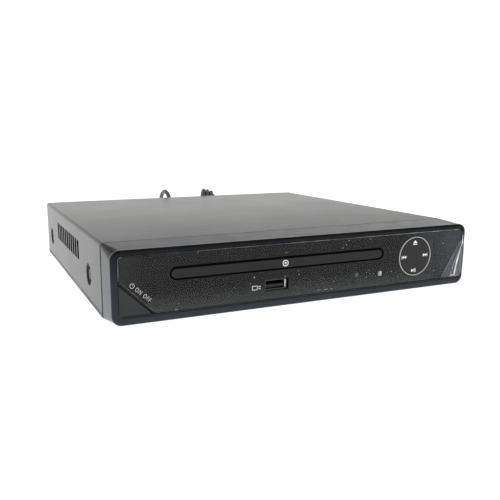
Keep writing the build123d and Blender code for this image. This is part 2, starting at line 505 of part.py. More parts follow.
# tray, with the recesses for both disc sizes and a slot over the deck that is open to the rear
tray = box(XC - 64.0, XC + 64.0, 3.4, 176, TRAY_Z0, TRAY_Z1)
tray = fillet(tray.edges().filter_by(Axis.Z).group_by(Axis.Y)[-1], 5)
tray = tray - cylz(XC, DC, 28.4, 40, 60.5) - cylz(XC, DC, 27.4, 40, 40.7)
tray = tray - cylz(XC, DC, 0, 40, 16.0) - box(XC - 16, XC + 16, DC, 180, 0, 40)
for side in (-1, 1):   # finger scoops at the sides of the disc, and lightening pockets behind it
    tray = tray - cylz(XC + side * 50, DC + 44, 27.6, 40, 12)
tray = tray - box(-78.0, -59.8, GD - 8.1, GD + TRAY_TRAVEL + 8.1, TRAY_Z0 - 1, 27.1)
tray = tray + prism_z(rack_pts(M1, GX - M1 * Z_RACK / 2, Y(GD), Y(GD - 5.5), Y(GD + TRAY_TRAVEL + 6.5), 1, -78.3), TRAY_Z0 + 0.3, 27.2)
tray = tray - box(XC + 44, XC + 61, 30, 160, TRAY_Z0 - 1, 26.6) - box(XC - 40, XC + 40, 9, 24, TRAY_Z0 - 1, 29.0)
save(tray, "disc_tray")
door = stadium(XC, TRAY_Z - 0.3, DOOR_L, DOOR_H, PANEL_D + 0.3, 3.4)
door = chamfer(door.edges().group_by(Axis.Y)[0], 0.25)
save(door, "tray_door")

# clamp bridge and puck
bridge = box(LX0, LX1, 70, 102, 33.2, 34.2) + box(LX0, LX1, 70, 71.5, 34.2, 36.8) + box(LX0, LX1, 100.5, 102, 34.2, 36.8)
bridge = bridge - cylz(XC, DC, 30, 40, 10.0)
save(bridge, "clamp_bridge")
puck = cylz(XC, DC, 31.5, 32.9, 14.0) + cylz(XC, DC, 32.8, 34.6, 9.7) + cylz(XC, DC, 34.5, 35.9, 12.5)
for k in range(3):
    a = 2 * math.pi * k / 3
    puck = puck - cylz(XC + 9.5 * math.cos(a), DC + 9.5 * math.sin(a), 35.0, 37, 2.0)
save(puck, "clamp_puck")

# deck that swings down at the front
ROD_X, ROD_Z, ROD_R = 24.0, 17.0, 1.25
deck = box(XC - 56, XC + 50, 60, 168, 18.8, 20.3)
deck = deck + box(XC - 56, XC - 54.5, 60, 168, 15.0, 18.9) + box(XC + 48.5, XC + 50, 60, 168, 15.0, 18.9) + box(XC - 56, XC + 50, 60, 61.5, 15.0, 22.2)
deck = deck - box(XC - 28.4, XC + 28.4, 98.5, 158.1, 18, 22) - cylz(XC, DC, 18, 22, 4.0)
for px in PIN_X:
    deck = deck + cyly(px, PIN_Z, 51.9, 60.5, 1.2)
for x0, x1, xa, xb in ((XC - 56, XC - 53, XC - 60.1, XC - 55.5), (XC + 47, XC + 50, XC + 49.5, XC + 54.1)):
    deck = deck + box(x0, x1, 165, 173, 17.0, 22.0) + cylx(HINGE_D, HINGE_Z, xa, xb, 1.5)
for sx in (-1, 1):
    for d0 in (96.4, 158.2):
        x0, x1 = XC + sx * 21.3, XC + sx * 26.6
        deck = deck + cut(box(min(x0, x1), max(x0, x1), d0, d0 + 2.0, 14.9, 18.9), cyly(XC + sx * ROD_X, ROD_Z, d0 - 1, d0 + 3, ROD_R + 0.02))
M3, Z_SP = 0.8, 12
M4, Z_SW, Z_SM = 0.6, 36, 12
SGX, SGD = XC - 31.0 - M3 * Z_SP / 2, 118.0
A2 = math.radians(130)
C2 = M4 * (Z_SW + Z_SM) / 2
SMX, SMD = SGX + C2 * math.cos(A2), SGD + C2 * math.sin(A2)
deck = deck - cylz(SMX, SMD, 18, 22, 7.7)
deck = deck + cylz(SGX, SGD, 11.0, 18.9, 1.0)
save(deck, "deck_plate")

sm = cylz(XC, DC, 12.4, 18.8, 12.0)
sm = chamfer(sm.edges().group_by(Axis.Z)[0], 0.8)
sm = sm + cylz(XC, DC, 18.8, 20.0, 3.5) + cylz(XC, DC, 20.0, 29.4, 0.75)
save(sm, "spindle_motor")
tt = cylz(XC, DC, 21.2, 28.5, 9.0) + cylz(XC, DC, 28.4, 29.6, 13.0) + (Pos(XC, Y(DC), 30.35) * Cone(7.35, 6.2, 1.5))
tt = tt - cylz(XC, DC, 21.0, 24.5, 7.6)
for k in range(6):
    a = 2 * math.pi * k / 6
    tt = tt - (Pos(XC + 11.0 * math.cos(a), Y(DC) + 11.0 * math.sin(a), 29.7) * Rot(0, 0, math.degrees(a)) * Box(2.4, 1.2, 0.8))
tt = tt - cylz(XC, DC, 20, 29.7, 0.8)
save(tt, "turntable")

save(group(*[cyly(XC + sx * ROD_X, ROD_Z, 96.4, 160.2, ROD_R) for sx in (-1, 1)]), "guide_rods")

PICK0, PICK1, PICK_TRAVEL = 101.0, 121.0, 34.0
pu = box(XC - 20.5, XC + 20.5, PICK0, PICK1, 14.6, 21.0)
pu = pu + box(XC - 24.0, XC - 20.4, PICK0, PICK1, 14.9, 19.0)
for d0 in (PICK0, PICK1 - 5):
    pu = pu + cyly(XC - ROD_X, ROD_Z, d0, d0 + 5, 2.9)
pu = pu + box(XC + 20.4, XC + 26.6, 109, 113, 14.9, 18.6)
pu = pu + box(XC - 10, XC + 10, 103.5, 117.5, 20.9, 25.6)
pu = pu + box(XC - 28.5, XC - 20, PICK0, PICK1, 14.6, 15.6)
pu = pu + prism_z(rack_pts(M3, XC - 31.0, Y(SGD), Y(81), Y(PICK1), -1, XC - 27.2), 14.8, 17.1)
pu = pu - cyly(XC - ROD_X, ROD_Z, 90, 130, ROD_R + 0.05) - box(XC + 22.6, XC + 28, 100, 120, ROD_Z - ROD_R - 0.05, ROD_Z + ROD_R + 0.05)
pu = pu - cylz(XC, 110, 23.6, 27, 2.6)
save(pu, "pickup_carriage")
lens = cylz(XC, 110, 23.6, 27.2, 2.5)
lens = fillet(lens.edges().group_by(Axis.Z)[-1], 0.9)
save(lens, "objective_lens")

sg = prism_z(gear_pts(M4, Z_SW, SGX, Y(SGD), A2), 11.4, 13.5) + cylz(SGX, SGD, 13.4, 14.7, 3.0) + prism_z(gear_pts(M3, Z_SP, SGX, Y(SGD), 0.0), 14.6, 17.3)
save(sg - cylz(SGX, SGD, 10, 19, 1.05), "sled_gear")
smo = cylz(SMX, SMD, 14.2, 23.6, 7.5) + (cylz(SMX, SMD, 17.7, 18.8, 9.0) & box(SMX - 12, SMX + 8.5, SMD - 12, SMD + 12, 10, 30)) + cylz(SMX, SMD, 11.2, 14.2, 0.75)
save(smo, "sled_motor")
smp = prism_z(gear_pts(M4, Z_SM, SMX, Y(SMD), A2 + math.pi + math.pi / Z_SM), 11.4, 13.8)
save(smp - cylz(SMX, SMD, 11, 15, 0.8), "sled_motor_pinion")

# ================================================================ ELECTRONICS
mb = box(-107, 50, 190, 221.5, 9.0, 10.6)
for x, d in MB_POSTS:
    mb = mb - cylz(x, d, 8, 12, 1.1)
save(mb, "main_board")
pb2 = box(60, 107, 96, 214, 9.0, 10.6)
for x, d in PS_POSTS:
    pb2 = pb2 - cylz(x, d, 8, 12, 1.1)
save(pb2, "psu_board")
ins = box(58, 107.8, 94, 216, FLOOR_T, FLOOR_T + 0.3)
for x, d in PS_POSTS:
    ins = ins - cylz(x, d, 4, 6, 3.0)
ins = ins - cylz(90, 200, 4, 6, 2.7)
save(ins, "psu_insulator")

ics = [box(-30, -8, 195, 217, 10.6, 12.2), box(-52, -38, 199, 207, 10.6, 11.8), box(2, 20, 200, 208, 10.6, 11.8), box(4, 14, 211, 217, 10.6, 12.0), box(-76, -66, 192, 199, 10.6, 12.0), box(30, 38, 212, 218, 10.6, 12.0)]
save(group(*ics), "board_chips")
hs = box(-29, -9, 196, 216, 12.2, 13.6)
for i in range(7):
    hs = hs + box(-29 + i * 3.1, -27.6 + i * 3.1, 196, 216, 13.5, 21.5)
caps = []
for x, d, r, h in [(-90, 196, 3.1, 9), (-82, 196, 3.1, 9), (26, 196, 4.0, 11), (36, 200, 3.1, 8), (-60, 203, 2.5, 7),
                   (66, 186, 4.0, 14), (66, 176, 4.0, 14), (66, 166, 5.0, 16), (66, 152, 5.0, 16)]:
    c = cylz(x, d, 10.6, 10.6 + h, r)
    caps.append(fillet(c.edges().group_by(Axis.Z)[-1], 0.5))
sock = box(42.5, 48.0, 196.6, 200.0, 10.6, 22.0) + box(42.5, 48.0, 196.6, 202, 10.6, 12.0)
mbs = box(40.5, 48.5, 205.0, 211.5, 10.6, 17.0)
pss = box(62.0, 68.0, 194.0, 204.0, 10.6, 17.0)
msk = box(86.5, 97.5, 204.5, 212.5, 10.6, 19.5)
save(group(sock, mbs, pss, msk), "board_sockets")

jack = box(-105.5, -62.5, 205, 222.9, 10.6, 24.0)
save(jack, "rca_jack_block")
bar = []
for x, z in RCA:
    b = cyly(x, z, 222.9, 225.0, 4.8) + cyly(x, z, 224.9, D_BODY + JACK_OUT, 4.15)
    b = b - cyly(x, z, 224.0, 240, 3.55)
    b = chamfer(b.edges().group_by(Axis.Y)[-1], 0.2)
    bar.append(b)
save(group(*bar), "rca_barrels")
inserts = [cyly(x, z, 224.0, D_BODY + JACK_OUT - 1.2, 3.5) - cyly(x, z, 226.0, 240, 1.65) for x, z in RCA]
save(group(*inserts), "rca_inserts")
hd = box(HDMI_X - 7.5, HDMI_X + 7.5, 211, 224.6, HDMI_Z - 3.3, HDMI_Z + 2.8)
hd = fillet(hd.edges().filter_by(Axis.Y).group_by(Axis.Z)[0], 1.5)
hd = hd - box(HDMI_X - 6.9, HDMI_X + 6.9, 215, 226, HDMI_Z - 2.2, HDMI_Z + 2.3)
hd = hd + box(HDMI_X - 5.4, HDMI_X + 5.4, 214.9, 223.8, HDMI_Z - 0.2, HDMI_Z + 0.7)
save(hd, "hdmi_socket")

trf = box(74, 96, 128, 148, 10.6, 12.2) + box(72, 98, 132, 144, 12.2, 30.0) + box(76, 94, 129.5, 146.5, 14.0, 27.0)
save(trf, "mains_transformer")
bulk = cylz(86, 170, 10.6, 32.0, 8.0)
bulk = fillet(bulk.edges().group_by(Axis.Z)[-1], 1.0)
save(group(bulk, *caps), "electrolytic_capacitors")
phs = box(102.5, 104.5, 112, 142, 10.6, 32.0) + box(98.5, 102.6, 114, 116, 14, 32.0) + box(98.5, 102.6, 138, 140, 14, 32.0)
save(group(hs, phs), "heatsinks")
choke = box(78, 94, 184, 197, 10.6, 24.0) - box(82, 90, 180, 200, 14.4, 20.2)
fuse = cyly(102.5, 15.0, 178.0, 198.0, 2.6) + box(101.0, 104.0, 180, 182, 10.6, 14.0) + box(101.0, 104.0, 194, 196, 10.6, 14.0)
save(group(choke, fuse), "mains_input_parts")


def strip(points, t, z0, z1):
    # a band on edge that follows points in (x, d)
    left, right = [], []
    n = len(points)
    for i, (x, d) in enumerate(points):
        dirs = []
        if i:
            a = points[i - 1]
            l = math.hypot(x - a[0], d - a[1])
            dirs.append(((x - a[0]) / l, (d - a[1]) / l))
        if i < n - 1:
            b = points[i + 1]
            l = math.hypot(b[0] - x, b[1] - d)
            dirs.append(((b[0] - x) / l, (b[1] - d) / l))
        sx, sd = sum(v[0] for v in dirs), sum(v[1] for v in dirs)
        l = math.hypot(sx, sd)
        sx, sd = sx / l, sd / l
        k_ = (t / 2) / max(0.5, sx * dirs[0][0] + sd * dirs[0][1])
        left.append((x - sd * k_, Y(d + sx * k_)))
        right.append((x + sd * k_, Y(d - sx * k_)))
    return prism_z(left + right[::-1], z0, z1)


save(strip([(61.0, 20.8), (60.6, 26.0), (55.8, 34.0), (55.2, 60.0), (56.0, 120.0), (55.4, 178.0), (53.0, 187.5), (46.8, 190.8), (45.3, 196.3)], 0.3, 12.8, 21.2), "front_ribbon")
wires = [strip([(48.9, 206.2 + i * 1.4), (55.0, 203.6 + i * 1.4), (61.5, 197.0 + i * 1.4)], 1.0, 14.0, 15.0) for i in range(4)]
leads = [cyly(RELIEF_X + dx, 17.0, 212.5, 221.0, 0.95) for dx in (-1.6, 1.6)]
save(group(*wires, *leads), "internal_wiring")

# ================================================================ FASTENERS
screws = []


def screw(x, d, z, vec, head_r, head_h, shank_r, length):
    # vec points from the head to the tip; x, d, z is the underside of the head
    axis = Vector(*vec)
    base = Plane(origin=(x, Y(d), z), z_dir=axis)
    s = extrude(base * Circle(shank_r), amount=length) + extrude(base * Circle(head_r), amount=-head_h)
    slot = extrude(Plane(origin=(x - vec[0] * head_h, Y(d) - vec[1] * head_h, z - vec[2] * head_h), z_dir=axis) * (Rectangle(head_r * 1.2, 0.6) + Rectangle(0.6, head_r * 1.2)), amount=head_h * 0.45)
    return s - slot


for side in (-1, 1):
    for d, z in DIMPLES:
        screws.append(screw(side * (W / 2 - DIMPLE_DEPTH), d, z, (-side, 0, 0), 3.1, 1.5, 1.2, 4.6))
for x, z in REAR_SCREWS:
    screws.append(screw(x, D_BODY, z, (0, -1, 0), 3.1, 1.5, 1.2, 4.6))
for x, d in BEZEL_FIX:
    screws.append(screw(x, d, ZB, (0, 0, 1), 3.1, 1.5, 1.2, 3.3))
save(group(*screws), "case_screws")
ls = [screw(x, d, 9.0, (0, 0, -1), 3.1, 1.5, 1.4, 4.9) for x, d in LEGS]
save(group(*ls), "loader_screws")
bs = [screw(x, d, 10.6, (0, 0, -1), 1.9, 1.1, 0.85, 4.8) for x, d in MB_POSTS + PS_POSTS]
bs += [screw(x, 17.6, z, (0, -1, 0), 1.9, 1.1, 0.85, 6.0) for x, z in [(-34.0, 9.6), (20.0, 9.6), (98.0, 9.6), (98.0, 37.2), (56.5, 37.2)]]
bs += [screw(x, 13.6, z, (0, -1, 0), 1.9, 1.1, 0.85, 4.5) for x, z in [(-104.6, 25.6), (-86.0, 9.6)]]
save(group(*bs), "board_screws")

# ================================================================ MAINS CORD
CORD = 3.6                            # round mains lead
relief = cyly(RELIEF_X, RELIEF_Z, 221.0, 223.1, 6.4) + cyly(RELIEF_X, RELIEF_Z, 223.0, 224.3, 4.8) + cyly(RELIEF_X, RELIEF_Z, 224.1, 227.0, 7.0)
relief = relief + (Pos(RELIEF_X, Y(235.9), RELIEF_Z) * Rot(-90, 0, 0) * Cone(4.4, 2.6, 18.0))
for i in range(4):
    relief = relief - (cyly(RELIEF_X, RELIEF_Z, 229.5 + i * 3.4, 230.8 + i * 3.4, 8) - cyly(RELIEF_X, RELIEF_Z, 229 + i * 3.4, 232.2 + i * 3.4, 2.5))
save(relief, "strain_relief")

COIL_X, COIL_D, COIL_Z = 40.2, 255.0, 22.9
COIL_W, COIL_RO, COIL_RI = 14.4, 22.8, 14.2
COIL_TURN = 22.0                      # the coil's plane, turned about the vertical


def at_coil(shape):
    return shape.rotate(Axis((COIL_X, Y(COIL_D), 0), (0, 0, 1)), -COIL_TURN)


xa, xb = COIL_X - COIL_W / 2, COIL_X + COIL_W / 2
coil = at_coil(cylx(COIL_D, COIL_Z, xa, xb, COIL_RO) - cylx(COIL_D, COIL_Z, xa - 1, xb + 1, COIL_RI))
save(coil, "cord_coil")
tie = box(xa - 1.0, xb + 1.0, COIL_D + 12.4, COIL_D + 24.0, COIL_Z - 4.5, COIL_Z - 1.5) - box(xa - 0.2, xb + 0.2, COIL_D + 13.3, COIL_D + 23.2, 0, 40)
tie = tie + box(xa + 6.0, xa + 7.0, COIL_D + 23.9, COIL_D + 31.0, COIL_Z - 4.5, COIL_Z - 1.5)
save(at_coil(tie), "cord_tie")


def tube(points, r, name, tight=()):
    pts = [Vector(x, Y(d), z) for x, d, z in points]
    radii, arcs = [], 0.0
    for i in range(1, len(pts) - 1):
        a, b = pts[i] - pts[i - 1], pts[i + 1] - pts[i]
        turn = a.get_angle(b)
        run = min(a.length, b.length)
        rad = 0.45 * run / math.tan(math.radians(turn) / 2)
        radii.append(rad)
        print(name, i, "run", round(a.length, 1), round(b.length, 1), "turn", round(turn, 1), "radius", round(rad, 1))
    path = FilletPolyline(*pts, radius=radii)
    first = pts[1] - pts[0]
    section = Plane(origin=pts[0], z_dir=first) * Circle(r)
    t = sweep(section, path=path)
    print(name, "length", round(path.length, 1), "volume", round(t.volume, 1), "section x length", round(math.pi * r * r * path.length, 1))
    return t, path.length


LEAD = [(RELIEF_X, 244.9, RELIEF_Z), (92.0, 256.0, 17.0), (90.2, 266.6, 15.4), (83.2, 275.0, 13.2), (73.0, 278.2, 10.8), (62.8, 276.6, 8.8), (55.2, 271.2, 7.6), (50.2, 265.4, 7.0)]
lead, l1 = tube(LEAD, CORD / 2, "power_cord")
save(lead - coil, "power_cord")
LOOP = [(39.6, 247.7, 3.2), (33.5, 240.0, 2.0), (25.3, 235.2, 1.9), (15.9, 234.5, 1.9), (7.8, 238.8, 1.9), (3.2, 247.0, 1.9), (1.8, 257.0, 1.9), (1.2, 267.5, 3.6), (0.6, 276.2, 12.4),
        (0.1, 278.6, 22.0), (-0.6, 276.0, 33.2), (-1.4, 267.4, 41.9), (-2.1, 255.6, 45.2), (-2.8, 243.8, 42.2), (-3.6, 235.3, 33.2), (-4.4, 232.4, 22.0), (-5.6, 235.8, 11.0), (-8.6, 243.8, 3.2),
        (-15.0, 253.5, 1.9), (-23.5, 261.4, 2.4), (-34.0, 266.2, 5.0), (-41.0, 267.4, 6.3), (-47.5, 267.4, 6.3)]
loop, l2 = tube(LOOP, CORD / 2, "cord_loop")
save(loop - coil, "cord_loop")
turns = [16.0, 16.6, 17.3, 17.9, 21.0, 20.3, 19.2]
coiled = sum(2 * math.pi * r for r in turns)
print("cord", round(l1 + l2 + coiled, 1), "mm in all,", round(coiled, 1), "of it coiled")
PX0, PD = -47.5, 267.4
plug = Pos(PX0 - 6.5, Y(PD), 6.3) * Rot(0, -90, 0) * Cone(2.6, 4.4, 13.0)
body_ = box(PX0 - 32, PX0 - 12.9, PD - 9.5, PD + 9.5, 0.2, 12.4)
body_ = fillet(body_.edges().filter_by(Axis.X), 3.0)
body_ = chamfer(body_.edges().group_by(Axis.X)[0], 0.8)
plug = plug + body_
for dd in (-6.35, 6.35):
    blade = box(PX0 - 48, PX0 - 31, PD + dd - 0.75, PD + dd + 0.75, 3.1, 9.5)
    blade = blade - cyly(PX0 - 45.0, 6.3, PD + dd - 2, PD + dd + 2, 1.5)
    plug = plug + blade
save(plug, "mains_plug")
print(len(WRITTEN), "nodes")
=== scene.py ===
import bpy, bmesh, math, random
from mathutils import Matrix, Vector


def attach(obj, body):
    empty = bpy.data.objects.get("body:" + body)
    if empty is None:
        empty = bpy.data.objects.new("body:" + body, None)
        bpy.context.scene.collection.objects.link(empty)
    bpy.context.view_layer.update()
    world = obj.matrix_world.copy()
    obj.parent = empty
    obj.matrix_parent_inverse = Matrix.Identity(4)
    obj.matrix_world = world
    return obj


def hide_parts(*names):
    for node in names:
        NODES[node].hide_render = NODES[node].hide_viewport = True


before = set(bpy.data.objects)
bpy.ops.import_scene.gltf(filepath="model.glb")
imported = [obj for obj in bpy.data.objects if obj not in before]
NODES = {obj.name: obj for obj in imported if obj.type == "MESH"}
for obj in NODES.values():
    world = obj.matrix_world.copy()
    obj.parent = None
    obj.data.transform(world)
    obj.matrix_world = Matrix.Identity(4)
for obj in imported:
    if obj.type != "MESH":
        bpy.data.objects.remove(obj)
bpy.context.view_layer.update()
scene = bpy.context.scene
Y0 = -116.5          # crest of the front rim, millimetres
XC, DC = -16.2, 86.0
rnd = random.Random(7)


def P(x, d, z):
    # x, depth behind the rim's crest and height, in millimetres, to the row frame in metres
    return Vector((x / 1000, (Y0 + d) / 1000, z / 1000))


# ------------------------------------------------------------------ camera
cam_data = bpy.data.cameras.new("camera")
cam_data.sensor_width = 36.0
cam_data.lens = 42.96
cam_data.shift_x = 0.0432
cam_data.shift_y = 0.0068
cam_data.clip_start = 0.02
cam_data.clip_end = 20
camera = bpy.data.objects.new("camera", cam_data)
scene.collection.objects.link(camera)
camera.location = (-0.1756, -0.3964, 0.0964)
az, el = math.radians(23.99), math.radians(11.23)
look = Vector((math.sin(az) * math.cos(el), math.cos(az) * math.cos(el), -math.sin(el)))
camera.rotation_euler = look.to_track_quat("-Z", "Y").to_euler()
scene.camera = camera


# ------------------------------------------------------------------ materials
def link(nt, a, b):
    nt.links.new(a, b)


def object_coords(nt):
    n = nt.nodes.get("coords")
    if n is None:
        n = nt.nodes.new("ShaderNodeTexCoord")
        n.name = "coords"
    return n.outputs["Object"]


def noise(nt, scale, detail=3.0, roughness=0.5, stretch=None, distortion=0.0):
    n = nt.nodes.new("ShaderNodeTexNoise")
    n.inputs["Scale"].default_value = scale
    n.inputs["Detail"].default_value = detail
    n.inputs["Roughness"].default_value = roughness
    n.inputs["Distortion"].default_value = distortion
    src = object_coords(nt)
    if stretch:
        m = nt.nodes.new("ShaderNodeMapping")
        m.inputs["Scale"].default_value = stretch
        link(nt, src, m.inputs["Vector"])
        src = m.outputs["Vector"]
    link(nt, src, n.inputs["Vector"])
    return n.outputs["Fac"]


def remap(nt, value, lo, hi, a=0.3, b=0.7):
    n = nt.nodes.new("ShaderNodeMapRange")
    n.inputs["From Min"].default_value = a
    n.inputs["From Max"].default_value = b
    n.inputs["To Min"].default_value = lo
    n.inputs["To Max"].default_value = hi
    link(nt, value, n.inputs["Value"])
    return n.outputs["Result"]


def mixed(nt, fac, one, two):
    n = nt.nodes.new("ShaderNodeMix")
    n.data_type = "RGBA"
    for socket, value in ((n.inputs[6], one), (n.inputs[7], two)):
        if isinstance(value, (tuple, list)):
            socket.default_value = (*value, 1)
        else:
            link(nt, value, socket)
    if isinstance(fac, (int, float)):
        n.inputs[0].default_value = fac
    else:
        link(nt, fac, n.inputs[0])
    return n.outputs[2]


def maths(nt, op, a, b=None):
    n = nt.nodes.new("ShaderNodeMath")
    n.operation = op
    for i, v in enumerate((a, b)):
        if v is None:
            continue
        if isinstance(v, (int, float)):
            n.inputs[i].default_value = v
        else:
            link(nt, v, n.inputs[i])
    return n.outputs[0]


def axis_of(nt, i, what="Object"):
    s = nt.nodes.new("ShaderNodeSeparateXYZ")
    if what == "Object":
        link(nt, object_coords(nt), s.inputs[0])
    else:
        g = nt.nodes.new("ShaderNodeNewGeometry")
        link(nt, g.outputs["Normal"], s.inputs[0])
    return s.outputs[i]


def surface(name, one, two=None, rough=(0.4, 0.5), metallic=0.0, scale=60.0, grain=1500.0, bump=0.05, depth=0.00005,
            specular=0.5, coat=0.0, coat_rough=0.1, stretch=None, detail=3.0, ior=1.5):
    # a plain procedural surface: two close colours, uneven roughness and a fine relief
    m = bpy.data.materials.new(name)
    m.use_nodes = True
    nt = m.node_tree
    b = nt.nodes["Principled BSDF"]
    b.inputs["Metallic"].default_value = metallic
    b.inputs["Specular IOR Level"].default_value = specular
    b.inputs["IOR"].default_value = ior
    b.inputs["Coat Weight"].default_value = coat
    b.inputs["Coat Roughness"].default_value = coat_rough
    two = two or tuple(c * 0.8 for c in one)
    link(nt, mixed(nt, remap(nt, noise(nt, scale, detail), 0.0, 1.0), one, two), b.inputs["Base Color"])
    link(nt, remap(nt, noise(nt, scale * 2.7, 2.0, stretch=stretch), rough[0], rough[1]), b.inputs["Roughness"])
    if bump:
        bn = nt.nodes.new("ShaderNodeBump")
        bn.inputs["Strength"].default_value = bump
        bn.inputs["Distance"].default_value = depth
        link(nt, noise(nt, grain, 2.0, stretch=stretch), bn.inputs["Height"])
        link(nt, bn.outputs["Normal"], b.inputs["Normal"])
    return m


def node_of(m, kind="Principled BSDF"):
    return m.node_tree, m.node_tree.nodes[kind]


M = {}
M["cover_paint"] = surface("cover_paint", (0.015, 0.0155, 0.0148), (0.018, 0.0185, 0.0176), rough=(0.215, 0.235), scale=9, grain=2600, bump=0.05, depth=0.00002, specular=0.18)
nt_, b_ = node_of(M["cover_paint"])
# painted reflection: the same paint reflects more on the flanks (0.2) than on the top, where it rises from 0.148 at the
# front to 0.182 at the back
flank = maths(nt_, "GREATER_THAN", maths(nt_, "ABSOLUTE", axis_of(nt_, 0, "Normal")), 0.6)
painted_sheen = nt_.nodes.new("ShaderNodeMix")
link(nt_, flank, painted_sheen.inputs[0])
link(nt_, remap(nt_, axis_of(nt_, 1), 0.148, 0.182, -0.105, -0.035), painted_sheen.inputs[2])
painted_sheen.inputs[3].default_value = 0.200
link(nt_, painted_sheen.outputs[0], b_.inputs["Specular IOR Level"])
# painted highlight: forward-facing faces above 40.5 mm turned light grey, strongest at the left and fading to the right
front_edge_painted_highlight = maths(nt_, "MULTIPLY", maths(nt_, "LESS_THAN", axis_of(nt_, 1, "Normal"), -0.7), maths(nt_, "GREATER_THAN", axis_of(nt_, 2), 0.0405))
front_edge_painted_highlight = maths(nt_, "MULTIPLY", front_edge_painted_highlight, remap(nt_, axis_of(nt_, 0), 1.0, 0.12, -0.02, 0.05))
link(nt_, mixed(nt_, front_edge_painted_highlight, b_.inputs["Base Color"].links[0].from_socket, (0.13, 0.13, 0.128)), b_.inputs["Base Color"])
satin = maths(nt_, "MULTIPLY", remap(nt_, axis_of(nt_, 1), 0.055, 0.0, -0.105, 0.045), maths(nt_, "SUBTRACT", 1.0, flank))
link(nt_, maths(nt_, "ADD", b_.inputs["Roughness"].links[0].from_socket, satin), b_.inputs["Roughness"])
M["zinc_sheet"] = surface("zinc_sheet", (0.56, 0.57, 0.56), (0.46, 0.47, 0.47), rough=(0.26, 0.44), metallic=1.0, scale=45, grain=900, bump=0.04, stretch=(1, 0.2, 1))
M["case_plastic"] = surface("case_plastic", (0.038, 0.044, 0.054), (0.045, 0.052, 0.063), rough=(0.20, 0.25), scale=30, grain=3200, bump=0.06, depth=0.00002, specular=0.11)


def rim_painted_shade_and_light(m):
    # painted shade: the rim darkens towards the top and keeps its colour low down; painted light: the groove round the
    # panel is lightened; edges softened
    nt, b = node_of(m)
    x, y, z = (axis_of(nt, i) for i in range(3))
    # painted shade: colour mixed towards near-black, more the higher it is
    dust_and_painted_shade = maths(nt, "MULTIPLY", remap(nt, z, 1.0, 0.66, 0.005, 0.024), remap(nt, z, 1.0, 0.24, 0.024, 0.0405))
    old = b.inputs["Base Color"].links[0].from_socket
    colour = mixed(nt, dust_and_painted_shade, (0.0008, 0.0012, 0.0020), old)
    # painted light: the shaded groove round the panel is coloured light grey
    groove_painted_light = maths(nt, "MULTIPLY", maths(nt, "GREATER_THAN", y, -0.1161), maths(nt, "LESS_THAN", y, -0.1140))
    groove_painted_light = maths(nt, "MULTIPLY", groove_painted_light, maths(nt, "LESS_THAN", maths(nt, "ABSOLUTE", maths(nt, "SUBTRACT", x, 0.0007)), 0.1109))
    groove_painted_light = maths(nt, "MULTIPLY", groove_painted_light, maths(nt, "MULTIPLY", maths(nt, "GREATER_THAN", z, 0.0072), maths(nt, "LESS_THAN", z, 0.030)))
    link(nt, mixed(nt, groove_painted_light, colour, (0.125, 0.135, 0.145)), b.inputs["Base Color"])
    bevel = nt.nodes.new("ShaderNodeBevel")
    bevel.samples = 6
    bevel.inputs["Radius"].default_value = 0.0007
    bump = b.inputs["Normal"].links[0].from_node
    link(nt, bevel.outputs["Normal"], bump.inputs["Normal"])


rim_painted_shade_and_light(M["case_plastic"])
M["gloss_panel"] = surface("gloss_panel", (0.0075, 0.0082, 0.0078), (0.0095, 0.0100, 0.0095), rough=(0.13, 0.19), scale=14, grain=300, bump=0.010, depth=0.0001, specular=0.22)
M["gloss_button"] = surface("gloss_button", (0.020, 0.0225, 0.026), (0.026, 0.028, 0.034), rough=(0.16, 0.22), scale=20, grain=300, bump=0.010, depth=0.0001, specular=0.35)
M["gloss_door"] = surface("gloss_door", (0.0125, 0.0132, 0.0128), (0.0145, 0.0150, 0.0145), rough=(0.14, 0.20), scale=14, grain=300, bump=0.010, depth=0.0001, specular=0.25)
M["gloss_pad"] = surface("gloss_pad", (0.0105, 0.0115, 0.0100), (0.0135, 0.0140, 0.0125), rough=(0.15, 0.2), scale=25, grain=300, bump=0.010, depth=0.0001, specular=0.3)
M["trim_ring"] = surface("trim_ring", (0.66, 0.68, 0.66), (0.58, 0.60, 0.58), rough=(0.25, 0.35), scale=80, grain=1500, bump=0.03)
M["ink_painted_glow"] = surface("ink_painted_glow", (0.90, 0.92, 0.90), (0.82, 0.84, 0.82), rough=(0.5, 0.6), scale=900, grain=4000, bump=0.05, depth=0.00001)
# painted glow: the printed marks also give off a faint light of their own
node_of(M["ink_painted_glow"])[1].inputs["Emission Color"].default_value = (0.9, 0.92, 0.9, 1)
node_of(M["ink_painted_glow"])[1].inputs["Emission Strength"].default_value = 0.30
M["ink_dim"] = surface("ink_dim", (0.30, 0.31, 0.31), (0.24, 0.25, 0.25), rough=(0.5, 0.6), scale=900, grain=4000, bump=0.05, depth=0.00001)
M["loader_plastic"] = surface("loader_plastic", (0.030, 0.030, 0.032), (0.038, 0.038, 0.041), rough=(0.42, 0.55), scale=50, grain=2400, bump=0.12)
M["tray_plastic"] = surface("tray_plastic", (0.034, 0.034, 0.037), (0.042, 0.042, 0.046), rough=(0.36, 0.48), scale=40, grain=2800, bump=0.14)
nt_, b_ = node_of(M["tray_plastic"])
